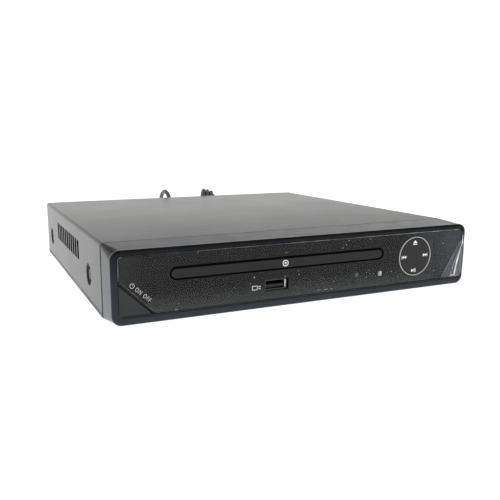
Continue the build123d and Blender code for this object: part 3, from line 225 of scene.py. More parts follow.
# painted shade: the tray's front face, seen in the gap above the door, is made near-black with almost no reflection
tray_front_painted_shade = maths(nt_, "LESS_THAN", axis_of(nt_, 1), -0.1129)
link(nt_, mixed(nt_, tray_front_painted_shade, b_.inputs["Base Color"].links[0].from_socket, (0.006, 0.006, 0.006)), b_.inputs["Base Color"])
link(nt_, maths(nt_, "SUBTRACT", 0.5, maths(nt_, "MULTIPLY", tray_front_painted_shade, 0.46)), b_.inputs["Specular IOR Level"])
M["white_gear"] = surface("white_gear", (0.80, 0.79, 0.73), (0.74, 0.72, 0.65), rough=(0.32, 0.42), scale=90, grain=1400, bump=0.04)
M["motor_metal"] = surface("motor_metal", (0.60, 0.61, 0.62), (0.50, 0.51, 0.52), rough=(0.22, 0.36), metallic=1.0, scale=120, grain=1400, bump=0.03)
M["rubber"] = surface("rubber", (0.018, 0.018, 0.018), (0.026, 0.025, 0.025), rough=(0.62, 0.78), scale=120, grain=1800, bump=0.15, specular=0.35)
M["cord"] = surface("cord", (0.075, 0.073, 0.085), (0.095, 0.093, 0.105), rough=(0.34, 0.46), scale=150, grain=1800, bump=0.10)
M["chip"] = surface("chip", (0.022, 0.022, 0.023), (0.034, 0.034, 0.035), rough=(0.5, 0.62), scale=300, grain=5000, bump=0.15)
M["alu"] = surface("alu", (0.72, 0.73, 0.74), (0.62, 0.63, 0.65), rough=(0.28, 0.42), metallic=1.0, scale=80, grain=900, bump=0.06, stretch=(1, 0.1, 1))
M["natural_nylon"] = surface("natural_nylon", (0.74, 0.71, 0.62), (0.66, 0.62, 0.52), rough=(0.4, 0.5), scale=120, grain=1800, bump=0.05)
M["nickel"] = surface("nickel", (0.74, 0.72, 0.68), (0.64, 0.62, 0.58), rough=(0.12, 0.24), metallic=1.0, scale=140, grain=1400, bump=0.02)
M["tape"] = surface("tape", (0.62, 0.45, 0.05), (0.50, 0.35, 0.04), rough=(0.25, 0.4), scale=150, grain=900, bump=0.1)
M["fibre"] = surface("fibre", (0.05, 0.05, 0.055), (0.08, 0.08, 0.085), rough=(0.7, 0.85), scale=400, grain=3000, bump=0.3)
M["ribbon"] = surface("ribbon", (0.70, 0.70, 0.66), (0.55, 0.55, 0.52), rough=(0.3, 0.45), scale=60, grain=900, bump=0.05)
M["oxide"] = surface("oxide", (0.030, 0.030, 0.032), (0.090, 0.090, 0.094), rough=(0.30, 0.44), metallic=0.6, scale=900, grain=3000, bump=0.08)
M["lens"] = surface("lens", (0.10, 0.13, 0.22), (0.14, 0.12, 0.26), rough=(0.04, 0.08), scale=60, grain=900, bump=0.0, coat=1.0, coat_rough=0.03)
M["dark_window"] = surface("dark_window", (0.050, 0.052, 0.056), (0.066, 0.067, 0.072), rough=(0.18, 0.26), scale=300, grain=900, bump=0.02)
M["light_pipe"] = surface("light_pipe", (0.66, 0.68, 0.70), (0.20, 0.21, 0.23), rough=(0.25, 0.4), scale=620, grain=1800, bump=0.06, detail=1.0)
M["port_metal"] = surface("port_metal", (0.085, 0.082, 0.080), (0.12, 0.115, 0.11), rough=(0.30, 0.42), metallic=1.0, scale=160, grain=1400, bump=0.03)
M["port_tongue"] = surface("port_tongue", (0.012, 0.011, 0.011), (0.022, 0.019, 0.018), rough=(0.40, 0.5), scale=160, grain=1400, bump=0.03)
M["port_painted_highlight"] = surface("port_painted_highlight", (0.90, 0.90, 0.74), (0.84, 0.84, 0.70), rough=(0.35, 0.45), scale=300, grain=1400, bump=0.03)
# painted highlight: a pale, faintly glowing colour for the port's lit inner wall
node_of(M["port_painted_highlight"])[1].inputs["Emission Color"].default_value = (0.92, 0.95, 0.70, 1)
node_of(M["port_painted_highlight"])[1].inputs["Emission Strength"].default_value = 0.35
# painted highlights for the film's folds and edge: pale, the bright one faintly glowing
M["fold_painted_highlight"] = surface("fold_painted_highlight", (0.90, 0.91, 0.95), (0.78, 0.80, 0.85), rough=(0.25, 0.35), scale=260, grain=900, bump=0.02)
node_of(M["fold_painted_highlight"])[1].inputs["Emission Color"].default_value = (0.9, 0.93, 1.0, 1)
node_of(M["fold_painted_highlight"])[1].inputs["Emission Strength"].default_value = 0.15
M["dust_and_painted_shade"] = surface("dust_and_painted_shade", (0.46, 0.47, 0.49), (0.34, 0.35, 0.36), rough=(0.5, 0.6), scale=500, grain=1500, bump=0.02)
M["painted_highlight_dim"] = surface("painted_highlight_dim", (0.42, 0.43, 0.47), (0.24, 0.25, 0.28), rough=(0.25, 0.35), scale=260, grain=900, bump=0.02)


def chassis_material():
    # bare plated sheet inside and behind, black paint on the skirt and underneath
    m = surface("chassis", (0.56, 0.57, 0.56), (0.46, 0.47, 0.47), rough=(0.26, 0.44), scale=45, grain=900, bump=0.04, stretch=(1, 0.2, 1))
    nt, b = node_of(m)
    paint = maths(nt, "LESS_THAN", axis_of(nt, 2), 0.00408)
    old = b.inputs["Base Color"].links[0].from_socket
    link(nt, mixed(nt, paint, old, (0.014, 0.0145, 0.0145)), b.inputs["Base Color"])
    link(nt, maths(nt, "SUBTRACT", 1.0, paint), b.inputs["Metallic"])
    b.inputs["Specular IOR Level"].default_value = 0.36
    return m


M["chassis"] = chassis_material()


def board(name, mask, mask2, copper):
    # solder mask over faint tracks, with a sparse grid of pads
    m = surface(name, mask, mask2, rough=(0.28, 0.4), scale=60, grain=1500, bump=0.05)
    nt, b = node_of(m)
    br = nt.nodes.new("ShaderNodeTexBrick")
    br.inputs["Scale"].default_value = 1.0
    br.inputs["Color1"].default_value = (*mask, 1)
    br.inputs["Color2"].default_value = (*mask2, 1)
    br.inputs["Mortar"].default_value = (*copper, 1)
    br.inputs["Mortar Size"].default_value = 0.00028
    br.inputs["Brick Width"].default_value = 0.0105
    br.inputs["Row Height"].default_value = 0.0023
    mp = nt.nodes.new("ShaderNodeMapping")
    link(nt, object_coords(nt), mp.inputs["Vector"])
    link(nt, mp.outputs["Vector"], br.inputs["Vector"])
    link(nt, br.outputs["Color"], b.inputs["Base Color"])
    return m


M["board_green"] = board("board_green", (0.012, 0.11, 0.045), (0.016, 0.13, 0.05), (0.03, 0.22, 0.09))
M["board_tan"] = board("board_tan", (0.34, 0.22, 0.09), (0.38, 0.25, 0.11), (0.26, 0.17, 0.07))


def by_axis(name, axis, stops, base):
    # one node that holds solids of several colours, told apart by where they stand
    m = surface(name, base, rough=(0.22, 0.34), scale=90, grain=900, bump=0.03)
    nt, b = node_of(m)
    value = axis_of(nt, axis)
    colour = None
    for limit, rgb in stops:
        if colour is None:
            colour = rgb
        else:
            colour = mixed(nt, maths(nt, "GREATER_THAN", value, limit), colour, rgb)
    link(nt, colour, b.inputs["Base Color"])
    return m


M["inserts"] = by_axis("inserts", 0, [(0, (0.78, 0.77, 0.74)), (-0.091, (0.50, 0.02, 0.02)), (-0.077, (0.75, 0.52, 0.03))], (0.7, 0.7, 0.7))


def plug_material():
    m = surface("plug", (0.018, 0.018, 0.019), (0.026, 0.026, 0.027), rough=(0.4, 0.52), scale=150, grain=1800, bump=0.12)
    nt, b = node_of(m)
    blade = maths(nt, "LESS_THAN", axis_of(nt, 0), -0.0796)
    old = b.inputs["Base Color"].links[0].from_socket
    link(nt, mixed(nt, blade, old, (0.72, 0.69, 0.62)), b.inputs["Base Color"])
    link(nt, blade, b.inputs["Metallic"])
    oldr = b.inputs["Roughness"].links[0].from_socket
    r = nt.nodes.new("ShaderNodeMix")
    link(nt, blade, r.inputs[0])
    link(nt, oldr, r.inputs[2])
    r.inputs[3].default_value = 0.24
    link(nt, r.outputs[0], b.inputs["Roughness"])
    return m


M["plug"] = plug_material()


def can_material():
    # sleeved can with a pale stripe and a bare metal top
    m = surface("can_sleeve", (0.02, 0.024, 0.05), (0.03, 0.034, 0.07), rough=(0.22, 0.32), scale=120, grain=900, bump=0.02)
    nt, b = node_of(m)
    top = maths(nt, "GREATER_THAN", axis_of(nt, 2, "Normal"), 0.9)
    side = maths(nt, "GREATER_THAN", axis_of(nt, 0, "Normal"), 0.93)
    old = b.inputs["Base Color"].links[0].from_socket
    c = mixed(nt, side, old, (0.55, 0.56, 0.58))
    link(nt, mixed(nt, top, c, (0.68, 0.69, 0.70)), b.inputs["Base Color"])
    link(nt, top, b.inputs["Metallic"])
    return m


M["can"] = can_material()

ASSIGN = {
    "top_cover": "cover_paint", "bottom_chassis": "chassis", "feet": "rubber", "front_bezel": "case_plastic", "front_panel": "gloss_panel",
    "power_button": "gloss_button", "pad_trim_ring": "trim_ring", "control_pad": "gloss_pad", "pad_gimbal_ring": "white_gear", "ir_window": "dark_window",
    "led_light_pipe": "light_pipe", "usb_port_shell": "port_metal", "usb_port_tongue": "port_tongue", "front_board": "board_tan", "front_board_parts": "chip",
    "loader_frame": "loader_plastic", "loading_motor": "motor_metal", "motor_pulley": "white_gear", "pulley_gear": "white_gear", "loader_belt": "rubber",
    "tray_drive_gear": "white_gear", "cam_slider": "white_gear", "disc_tray": "tray_plastic", "tray_door": "gloss_door", "clamp_bridge": "zinc_sheet",
    "clamp_puck": "loader_plastic", "deck_plate": "zinc_sheet", "spindle_motor": "motor_metal", "turntable": "loader_plastic", "guide_rods": "nickel",
    "pickup_carriage": "alu", "objective_lens": "lens", "sled_gear": "white_gear", "sled_motor": "motor_metal", "sled_motor_pinion": "white_gear",
    "main_board": "board_green", "psu_board": "board_tan", "psu_insulator": "fibre", "board_chips": "chip", "heatsinks": "alu",
    "electrolytic_capacitors": "can", "board_sockets": "natural_nylon", "rca_jack_block": "chip", "rca_barrels": "nickel", "rca_inserts": "inserts",
    "hdmi_socket": "nickel", "mains_transformer": "tape", "mains_input_parts": "chip", "front_ribbon": "ribbon", "internal_wiring": "ribbon",
    "case_screws": "oxide", "loader_screws": "nickel", "board_screws": "nickel", "strain_relief": "rubber", "cord_tie": "rubber", "mains_plug": "plug",
    "protective_film": "gloss_panel", "power_cord": "cord", "cord_loop": "cord", "cord_coil": "cord",
}
for node, key in ASSIGN.items():
    o = NODES[node]
    o.data.materials.clear()
    o.data.materials.append(M[key])


# ------------------------------------------------------------------ the mains cord
CORD = 3.6
LEAD = [(92.0, 244.9, 17.0), (92.0, 256.0, 17.0), (90.2, 266.6, 15.4), (83.2, 275.0, 13.2), (73.0, 278.2, 10.8), (62.8, 276.6, 8.8), (54.6, 270.4, 7.4), (49.6, 262.6, 6.8)]
LOOP = [(43.8, 254.6, 3.7), (39.6, 247.7, 2.1), (33.5, 240.0, 1.9), (25.3, 235.2, 1.9), (15.9, 234.5, 1.9), (7.8, 238.8, 1.9), (3.2, 247.0, 1.9), (1.8, 257.0, 1.9), (1.2, 267.5, 3.6), (0.6, 276.2, 12.4),
        (0.1, 278.6, 22.0), (-0.6, 276.0, 33.2), (-1.4, 267.4, 41.9), (-2.1, 255.6, 45.2), (-2.8, 243.8, 42.2), (-3.6, 235.3, 33.2), (-4.4, 232.4, 22.0), (-5.6, 235.8, 11.0), (-8.6, 243.8, 3.2),
        (-15.0, 253.5, 1.9), (-23.5, 261.4, 2.4), (-34.0, 266.2, 5.0), (-41.0, 267.4, 6.3), (-47.5, 267.4, 6.3)]
COIL_X, COIL_D, COIL_Z = 40.2, 255.0, 22.9
COIL_TURN = math.radians(22)
SLOTS = [(5.4, 16.0), (1.8, 16.6), (-1.8, 17.3), (-5.4, 17.9), (-3.6, 21.0), (0.0, 20.3), (3.6, 19.2)]
SHIFTS = [(190, 170), (190, 170), (190, 170), (60, 240), (200, 150), (200, 150)]
PER_TURN = 14


def coil_points():
    # seven tied turns in two layers: four side by side, then three back over them
    pts = []
    grow = 1 / math.cos(math.pi / PER_TURN)
    for k in range(7):
        for i in range(PER_TURN):
            a = 360 * i / PER_TURN
            u, r = SLOTS[k]
            if k < 6:
                t = min(1, max(0, (a - SHIFTS[k][0]) / SHIFTS[k][1]))
                t = t * t * (3 - 2 * t)
                u += (SLOTS[k + 1][0] - u) * t
                r += (SLOTS[k + 1][1] - r) * t
            phi = math.radians(-82 - a)
            v = grow * r * math.cos(phi)
            pts.append((COIL_X + u * math.cos(COIL_TURN) + v * math.sin(COIL_TURN), COIL_D - u * math.sin(COIL_TURN) + v * math.cos(COIL_TURN), COIL_Z + grow * r * math.sin(phi)))
    return pts


route = LEAD + coil_points() + LOOP
curve = bpy.data.curves.new("mains_cord", "CURVE")
curve.dimensions = "3D"
spline = curve.splines.new("NURBS")
spline.points.add(len(route) - 1)
for p, (x, d, z) in zip(spline.points, route):
    p.co = (*P(x, d, z), 1)
spline.order_u = 3
spline.use_endpoint_u = True
spline.resolution_u = 6
curve.bevel_depth = CORD / 2000
curve.bevel_resolution = 5
curve.use_fill_caps = True
cord = bpy.data.objects.new("mains_cord", curve)
scene.collection.objects.link(cord)
curve.materials.append(M["cord"])
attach(cord, "case")
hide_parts("power_cord", "cord_coil", "cord_loop")


# ------------------------------------------------------------------ mesh helpers
def mesh_object(name, verts, faces, material, body, smooth=False):
    me = bpy.data.meshes.new(name)
    me.from_pydata([tuple(v) for v in verts], [], faces)
    me.update()
    if smooth:
        for f in me.polygons:
            f.use_smooth = True
    o = bpy.data.objects.new(name, me)
    scene.collection.objects.link(o)
    me.materials.append(material)
    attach(o, body)
    return o


def flat_shapes(name, outlines, d, material, body, thick=0.02):
    # printed shapes: closed outlines in (x, z) millimetres, holes included, filled and given the ink's thickness
    c = bpy.data.curves.new(name, "CURVE")
    c.dimensions = "2D"
    c.fill_mode = "BOTH"
    c.extrude = thick / 2000
    for pts in outlines:
        s = c.splines.new("POLY")
        s.points.add(len(pts) - 1)
        for p, (x, z) in zip(s.points, pts):
            p.co = (x / 1000, z / 1000, 0, 1)
        s.use_cyclic_u = True
    tmp = bpy.data.objects.new(name + "_curve", c)
    tmp.matrix_world = Matrix.Translation((0, (Y0 + d) / 1000, 0)) @ Matrix.Rotation(math.radians(90), 4, "X")
    scene.collection.objects.link(tmp)
    bpy.context.view_layer.update()
    dg = bpy.context.evaluated_depsgraph_get()
    me = bpy.data.meshes.new_from_object(tmp.evaluated_get(dg))
    me.transform(tmp.matrix_world)
    me.name = name
    bpy.data.objects.remove(tmp)
    bpy.data.curves.remove(c)
    o = bpy.data.objects.new(name, me)
    scene.collection.objects.link(o)
    me.materials.clear()
    me.materials.append(material)
    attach(o, body)
    return o


def circle(x, z, r, n=48, a0=0.0, a1=360.0):
    return [(x + r * math.cos(math.radians(a0 + (a1 - a0) * i / n)), z + r * math.sin(math.radians(a0 + (a1 - a0) * i / n))) for i in range(n)]


def ring(x, z, r, w, n=64):
    return [circle(x, z, r + w / 2, n), circle(x, z, r - w / 2, n)[::-1]]


def arc_band(x, z, r, w, a0, a1, n=32):
    out = [(x + (r + w / 2) * math.cos(math.radians(a0 + (a1 - a0) * i / n)), z + (r + w / 2) * math.sin(math.radians(a0 + (a1 - a0) * i / n))) for i in range(n + 1)]
    inn = [(x + (r - w / 2) * math.cos(math.radians(a1 - (a1 - a0) * i / n)), z + (r - w / 2) * math.sin(math.radians(a1 - (a1 - a0) * i / n))) for i in range(n + 1)]
    return out + inn


def rect(x0, x1, z0, z1):
    return [(x0, z0), (x1, z0), (x1, z1), (x0, z1)]


def turned(pts, cx, cz, deg_):
    c, s = math.cos(math.radians(deg_)), math.sin(math.radians(deg_))
    return [(cx + (x - cx) * c - (z - cz) * s, cz + (x - cx) * s + (z - cz) * c) for x, z in pts]


# ------------------------------------------------------------------ marks on the round pad
PX, PZ = 74.5, 23.55
PAD_FACE = 0.70
marks = []
ex, ez = 73.9, 32.1
marks += [[(ex - 1.55, ez - 0.35), (ex + 1.55, ez - 0.35), (ex, ez + 1.45)], rect(ex - 1.55, ex + 1.55, ez - 1.35, ez - 0.80)]
bx, bz = 65.9, 23.5
marks += [rect(bx - 1.75, bx - 1.40, bz - 1.05, bz + 1.05), [(bx + 0.10, bz - 1.0), (bx + 0.10, bz + 1.0), (bx - 1.40, bz)], [(bx + 1.65, bz - 1.0), (bx + 1.65, bz + 1.0), (bx + 0.10, bz)]]
nx, nz = 82.1, 23.9
marks += [rect(nx + 1.40, nx + 1.75, nz - 1.05, nz + 1.05), [(nx - 0.10, nz + 1.0), (nx - 0.10, nz - 1.0), (nx + 1.40, nz)], [(nx - 1.65, nz + 1.0), (nx - 1.65, nz - 1.0), (nx - 0.10, nz)]]
qx, qz = 73.6, 14.8
marks += [[(qx - 1.6, qz + 1.1), (qx - 1.6, qz - 1.1), (qx + 0.15, qz)], rect(qx + 0.35, qx + 0.80, qz - 1.1, qz + 1.1), rect(qx + 1.15, qx + 1.60, qz - 1.1, qz + 1.1)]
flat_shapes("pad_marks", marks, PAD_FACE - 0.008, M["ink_painted_glow"], "control_pad")

# ------------------------------------------------------------------ marks on the panel
PANEL = 1.0
ox, oz = -102.75, 23.05
power = [arc_band(ox, oz, 1.15, 0.26, 118, 422), rect(ox - 0.14, ox + 0.14, oz + 0.20, oz + 1.6)]
power = [turned(p, ox, oz, -43) for p in power]
flat_shapes("power_mark", power, PANEL - 0.008, M["ink_painted_glow"], "case")


def lettering(name, text, x, z, size, angle, narrow, d, material, body):
    c = bpy.data.curves.new(name, "FONT")
    c.body = text
    c.size = size / 1000
    c.align_x = "LEFT"
    c.align_y = "CENTER"
    c.space_character = 1.25
    c.extrude = 0.00001
    c.offset = -0.00002
    tmp = bpy.data.objects.new(name + "_text", c)
    tmp.matrix_world = Matrix.Translation(P(x, d, z)) @ Matrix.Rotation(math.radians(90), 4, "X") @ Matrix.Rotation(math.radians(angle), 4, "Z") @ Matrix.Diagonal((narrow, 1, 1, 1))
    scene.collection.objects.link(tmp)
    bpy.context.view_layer.update()
    dg = bpy.context.evaluated_depsgraph_get()
    me = bpy.data.meshes.new_from_object(tmp.evaluated_get(dg))
    me.transform(tmp.matrix_world)
    bpy.data.objects.remove(tmp)
    bpy.data.curves.remove(c)
    o = bpy.data.objects.new(name, me)
    scene.collection.objects.link(o)
    me.materials.clear()
    me.materials.append(material)
    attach(o, body)
    return o


lettering("switch_mark", "ON OFF", -101.1, 21.5, 3.15, -43, 0.77, PANEL - 0.010, M["ink_painted_glow"], "case")
# a plain plug outline beside the port, and a disc mark on the tray
px_, pz_ = -33.9, 14.9
port = [rect(px_ - 2.7, px_ + 0.7, pz_ - 1.25, pz_ + 1.25), rect(px_ - 2.3, px_ + 0.3, pz_ - 0.85, pz_ + 0.85)[::-1],
        rect(px_ + 1.2, px_ + 2.6, pz_ + 0.3, pz_ + 0.85), rect(px_ + 1.2, px_ + 2.6, pz_ - 0.85, pz_ - 0.3)]
flat_shapes("port_mark", port, PANEL - 0.008, M["ink_painted_glow"], "case")
flat_shapes("disc_mark", ring(-15.9, 27.05, 1.6, 0.42) + ring(-15.9, 27.05, 0.5, 0.34), PANEL + 0.292, M["ink_painted_glow"], "tray")


# ------------------------------------------------------------------ transport film
def film_material():
    m = bpy.data.materials.new("film")
    m.use_nodes = True
    nt = m.node_tree
    b = nt.nodes["Principled BSDF"]
    b.inputs["Roughness"].default_value = 0.16
    b.inputs["Specular IOR Level"].default_value = 0.35
    x, z = axis_of(nt, 0), axis_of(nt, 2)
    # partly the film's own haze, partly painted reflection: paler and bluer towards the right corner, paler low down
    # and at the left end
    haze_and_reflection_noise = noise(nt, 26, 3)
    right = maths(nt, "MULTIPLY", remap(nt, x, 0.0, 1.0, 0.066, 0.104), remap(nt, haze_and_reflection_noise, 0.75, 1.15))
    low = maths(nt, "MULTIPLY", remap(nt, z, 0.85, 0.0, 0.0078, 0.0185), remap(nt, haze_and_reflection_noise, 0.85, 1.1))
    left = remap(nt, x, 0.34, 0.0, -0.110, -0.094)
    right = maths(nt, "MAXIMUM", right, maths(nt, "MAXIMUM", low, left))
    pale = mixed(nt, remap(nt, x, 0.0, 1.0, 0.060, 0.090), (0.172, 0.190, 0.190), (0.178, 0.192, 0.242))
    col = mixed(nt, right, (0.027, 0.028, 0.027), pale)
    link(nt, col, b.inputs["Base Color"])
    alpha = maths(nt, "ADD", maths(nt, "MULTIPLY", right, 0.12), 0.13)
    link(nt, alpha, b.inputs["Alpha"])
    return m


def edge_highlight_material():
    # painted highlight along the film's cut edge: pale, broken into stretches and specks
    m = bpy.data.materials.new("film_edge_painted_highlight")
    m.use_nodes = True
    nt = m.node_tree
    b = nt.nodes["Principled BSDF"]
    b.inputs["Roughness"].default_value = 0.35
    n = noise(nt, 120, 4.0, 0.65)
    link(nt, mixed(nt, remap(nt, n, 0, 1, 0.42, 0.66), (0.26, 0.27, 0.28), (0.62, 0.64, 0.64)), b.inputs["Base Color"])
    link(nt, remap(nt, n, 0.66, 0.95, 0.38, 0.58), b.inputs["Alpha"])
    return m


def crease_material():
    m = bpy.data.materials.new("film_crease_painted_reflection")
    m.use_nodes = True
    nt = m.node_tree
    b = nt.nodes["Principled BSDF"]
    b.inputs["Roughness"].default_value = 0.20
    n = noise(nt, 90, 3.0, 0.6, stretch=(1.0, 1.0, 0.35))
    # painted reflection: the lifted corner of the film is coloured pale and bluish
    base = mixed(nt, remap(nt, n, 0, 1, 0.40, 0.66), (0.22, 0.23, 0.27), (0.38, 0.40, 0.46))
    link(nt, base, b.inputs["Base Color"])
    # painted reflection: more opaque towards the cut, where the film stands off the panel
    x, z = axis_of(nt, 0), axis_of(nt, 2)
    off = maths(nt, "SUBTRACT", x, maths(nt, "ADD", maths(nt, "MULTIPLY", z, 0.22), 0.1035))
    link(nt, maths(nt, "ADD", remap(nt, n, 0.20, 0.32, 0.35, 0.68), remap(nt, off, 0.0, 0.34, -0.0040, 0.0016)), b.inputs["Alpha"])
    return m


M["film"], M["film_edge_painted_highlight"], M["film_crease_painted_reflection"] = film_material(), edge_highlight_material(), crease_material()
FILM = 0.92
SPLIT = 88.0


def stadium(x, z, length, height, n=24):
    r = height / 2
    c = length / 2 - r
    return [(x + c + r * math.cos(math.radians(-90 + 180 * i / n)), z + r * math.sin(math.radians(-90 + 180 * i / n))) for i in range(n + 1)] + \
           [(x - c + r * math.cos(math.radians(90 + 180 * i / n)), z + r * math.sin(math.radians(90 + 180 * i / n))) for i in range(n + 1)]


fx0, fx1, fz0, fz1 = -109.65, 111.1, 7.75, 38.0
left = [(fx0, 26.2), (fx0 + 0.8, 25.5), (-91.6, 8.6), (-90.6, fz0), (SPLIT, fz0), (SPLIT, fz1), (fx0 + 1.8, fz1), (fx0 + 0.5, fz1 - 0.5), (fx0, fz1 - 1.8)]
holes = [stadium(XC, 27.35, 134.6, 8.1), rect(-29.1, -13.6, 12.1, 19.2), circle(PX, PZ, 12.55, 72), circle(31.9, 15.8, 2.0), rect(46.8, 50.4, 13.2, 17.0)]
film_a = flat_shapes("film_flat", [left] + [h[::-1] for h in holes], FILM, M["film"], "case", thick=0.06)

RIDGES = [((95.7, 8.0), (110.4, 31.8), 0.20, 0.40), ((103.4, 8.0), (109.4, 25.5), 0.22, 0.45), ((106.2, 8.0), (111.0, 28.4), 0.36, 0.50), ((108.6, 8.0), (111.0, 22.0), 0.20, 0.45)]


def lift(x, z):
    h = 0.0
    (ax, az_), (bx_, bz_) = RIDGES[0][0], RIDGES[0][1]
    l = math.hypot(bx_ - ax, bz_ - az_)
    side = ((x - ax) * (bz_ - az_) - (z - az_) * (bx_ - ax)) / l
    if side > 0:
        h += 0.10 * min(1.0, side / 1.2)
    h += 0.42 * max(0.0, (x - 106.0) / 4.6) ** 2 * min(1.0, max(0.0, (34.5 - z) / 5.0))
    for (px, pz), (qx_, qz_), a, w in RIDGES:
        l = math.hypot(qx_ - px, qz_ - pz)
        t = ((x - px) * (qx_ - px) + (z - pz) * (qz_ - pz)) / l
        s = abs((x - px) * (qz_ - pz) - (z - pz) * (qx_ - px)) / l
        along = min(1.0, max(0.0, (l - t + 0.5) / 6.0))
        h += a * math.exp(-(s / w) ** 2) * along
    h += 0.02 * math.sin(x * 1.3 + z * 0.7) * (1 if side > 0 else 0.25)
    return min(h, 0.80)


NXg, NZg = 110, 120
verts, faces, kinds = [], [], []
for j in range(NZg + 1):
    for i in range(NXg + 1):
        x = SPLIT + (fx1 - SPLIT) * i / NXg
        z = fz0 + (fz1 - fz0) * j / NZg
        cx_ = fx1 - 2.0
        if x > cx_ and z > fz1 - 2.0:     # round the corners of the cut
            dx, dz = x - cx_, z - (fz1 - 2.0)
            r = max(dx, dz)
            l = math.hypot(dx, dz) or 1
            x, z = cx_ + dx / l * r, fz1 - 2.0 + dz / l * r
        verts.append(P(x, FILM - lift(x, z), z))
(ax, az_), (bx_, bz_) = RIDGES[0][0], RIDGES[0][1]
for j in range(NZg):
    for i in range(NXg):
        a = j * (NXg + 1) + i
        faces.append((a, a + 1, a + NXg + 2, a + NXg + 1))
        x = SPLIT + (fx1 - SPLIT) * (i + 0.5) / NXg
        z = fz0 + (fz1 - fz0) * (j + 0.5) / NZg
        kinds.append(1 if (x - ax) * (bz_ - az_) - (z - az_) * (bx_ - ax) > 0 else 0)
film_b = mesh_object("film_corner", verts, faces, M["film"], "case", smooth=True)
film_b.data.materials.append(M["film_crease_painted_reflection"])
for f, k in zip(film_b.data.polygons, kinds):
    f.material_index = k
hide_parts("protective_film")
ex0, ex1, ez0, ez1 = -109.8, 111.2, 7.6, 38.15
edges_ = [rect(ex0 + 1.9, ex1 - 2.0, ez1 - 0.26, ez1 + 0.02), rect(ex0 + 0.06, ex0 + 0.22, 26.0, ez1 - 1.9),
          [(ex0, ez1 - 2.0), (ex0 + 0.25, ez1 - 1.2), (ex0 + 0.7, ez1 - 0.6), (ex0 + 2.0, ez1), (ex0 + 2.0, ez1 - 0.26), (ex0 + 0.9, ez1 - 0.8), (ex0 + 0.45, ez1 - 1.4), (ex0 + 0.26, ez1 - 2.0)]]
edges_ += [[(fx0 + 0.9, 25.44), (-91.44, 8.46), (-91.50, 8.42), (fx0 + 0.85, 25.39)]]
flat_shapes("film_edge_painted_highlights", edges_, FILM - 0.02, M["film_edge_painted_highlight"], "case", thick=0.05)


def sliver(points, widths):
    # a thin pale strip that carries a painted highlight: a line in (x, z) with a width at each point
    out, back = [], []
    for i, ((x, z), w) in enumerate(zip(points, widths)):
        a = points[max(0, i - 1)]
        b = points[min(len(points) - 1, i + 1)]
        l = math.hypot(b[0] - a[0], b[1] - a[1])
        nx_, nz_ = -(b[1] - a[1]) / l * w / 2, (b[0] - a[0]) / l * w / 2
        out.append((x + nx_, z + nz_))
        back.append((x - nx_, z - nz_))
    return out + back[::-1]


# painted highlights: pale strips along the folds of the loose film corner
flat_shapes("film_fold_painted_highlight", [sliver([(106.2, 8.6), (106.5, 10.6), (106.9, 13.1), (107.4, 15.4), (108.0, 18.0), (108.7, 20.4), (109.4, 23.3), (110.3, 26.2), (111.0, 28.0)], [0.35, 0.95, 0.90, 0.70, 1.35, 1.05, 0.62, 0.36, 0.30]),
                          sliver([(111.4, 34.6), (111.5, 32.0), (111.6, 30.4), (111.6, 28.8), (111.4, 27.6)], [0.14, 0.36, 0.85, 1.1, 0.4]),
                          sliver([(103.0, 8.9), (104.3, 9.05), (105.2, 9.1)], [0.2, 0.55, 0.25]), sliver([(105.7, 9.0), (106.5, 9.1), (107.1, 9.1)], [0.4, 0.8, 0.3])],
            0.10, M["fold_painted_highlight"], "case", thick=0.04)
# dimmer painted highlights along the folds
flat_shapes("film_fold_painted_highlight_dim", [sliver([(103.9, 9.4), (104.4, 13.3), (105.8, 17.0), (107.4, 20.9), (109.2, 25.5)], [0.35, 0.95, 0.75, 0.50, 0.12]),
                              sliver([(96.0, 8.5), (99.0, 13.4), (103.2, 20.2), (107.6, 27.3), (110.0, 31.2)], [0.05, 0.13, 0.13, 0.12, 0.05]),
                              sliver([(103.0, 9.2), (103.8, 11.2), (104.4, 13.0)], [0.3, 0.8, 0.3]),
                              sliver([(111.25, 36.8), (111.3, 34.0), (111.2, 31.6)], [0.2, 0.34, 0.4]), sliver([(110.7, 26.0), (110.3, 20.0), (109.8, 12.0)], [0.3, 0.5, 0.3])],
            0.14, M["painted_highlight_dim"], "case", thick=0.04)
# where the loose corner laps over the rounded rim
M["film_flap"] = surface("film_flap", (0.27, 0.275, 0.285), (0.33, 0.335, 0.345), rough=(0.22, 0.30), scale=140, grain=900, bump=0.02)
node_of(M["film_flap"])[1].inputs["Alpha"].default_value = 0.52
flat_shapes("film_flap", [[(110.6, 8.9), (111.7, 9.6), (112.5, 11.2), (112.95, 13.5), (113.05, 18.0), (113.05, 26.0), (112.5, 28.4), (111.9, 29.0), (111.3, 28.0), (110.9, 24.0), (110.7, 16.0)]],
            0.04, M["film_flap"], "case", thick=0.03)
# dust and specks on the film
SPECKS = [(25.4, 36.8, 0.5), (40.7, 36.6, 0.5), (21.2, 32.7, 0.45), (23.6, 34.4, 0.4), (57.0, 15.7, 0.42), (89.9, 13.0, 0.5), (96.2, 30.0, 0.5), (-15.6, 33.0, 0.4), (-7.8, 22.1, 0.5),
          (15.9, 13.7, 0.4), (-67.8, 37.4, 0.45), (-35.2, 20.9, 0.6), (-16.2, 19.6, 0.4), (-7.4, 19.9, 0.4), (-37.6, 17.6, 0.35), (38.7, 16.7, 0.36), (38.7, 13.8, 0.32), (41.2, 15.6, 0.34), (43.8, 15.3, 0.36), (40.3, 18.2, 0.26), (43.4, 18.4, 0.26), (38.4, 11.5, 0.34), (45.6, 13.9, 0.3)]
dots = []
for x, z, w in SPECKS:
    n = 7
    ph = rnd.uniform(0, 1)
    dots.append([(x + w * 0.68 * (0.7 + 0.5 * rnd.random()) * math.cos(2 * math.pi * (i + ph) / n), z + w * 0.68 * (0.6 + 0.6 * rnd.random()) * math.sin(2 * math.pi * (i + ph) / n)) for i in range(n)])
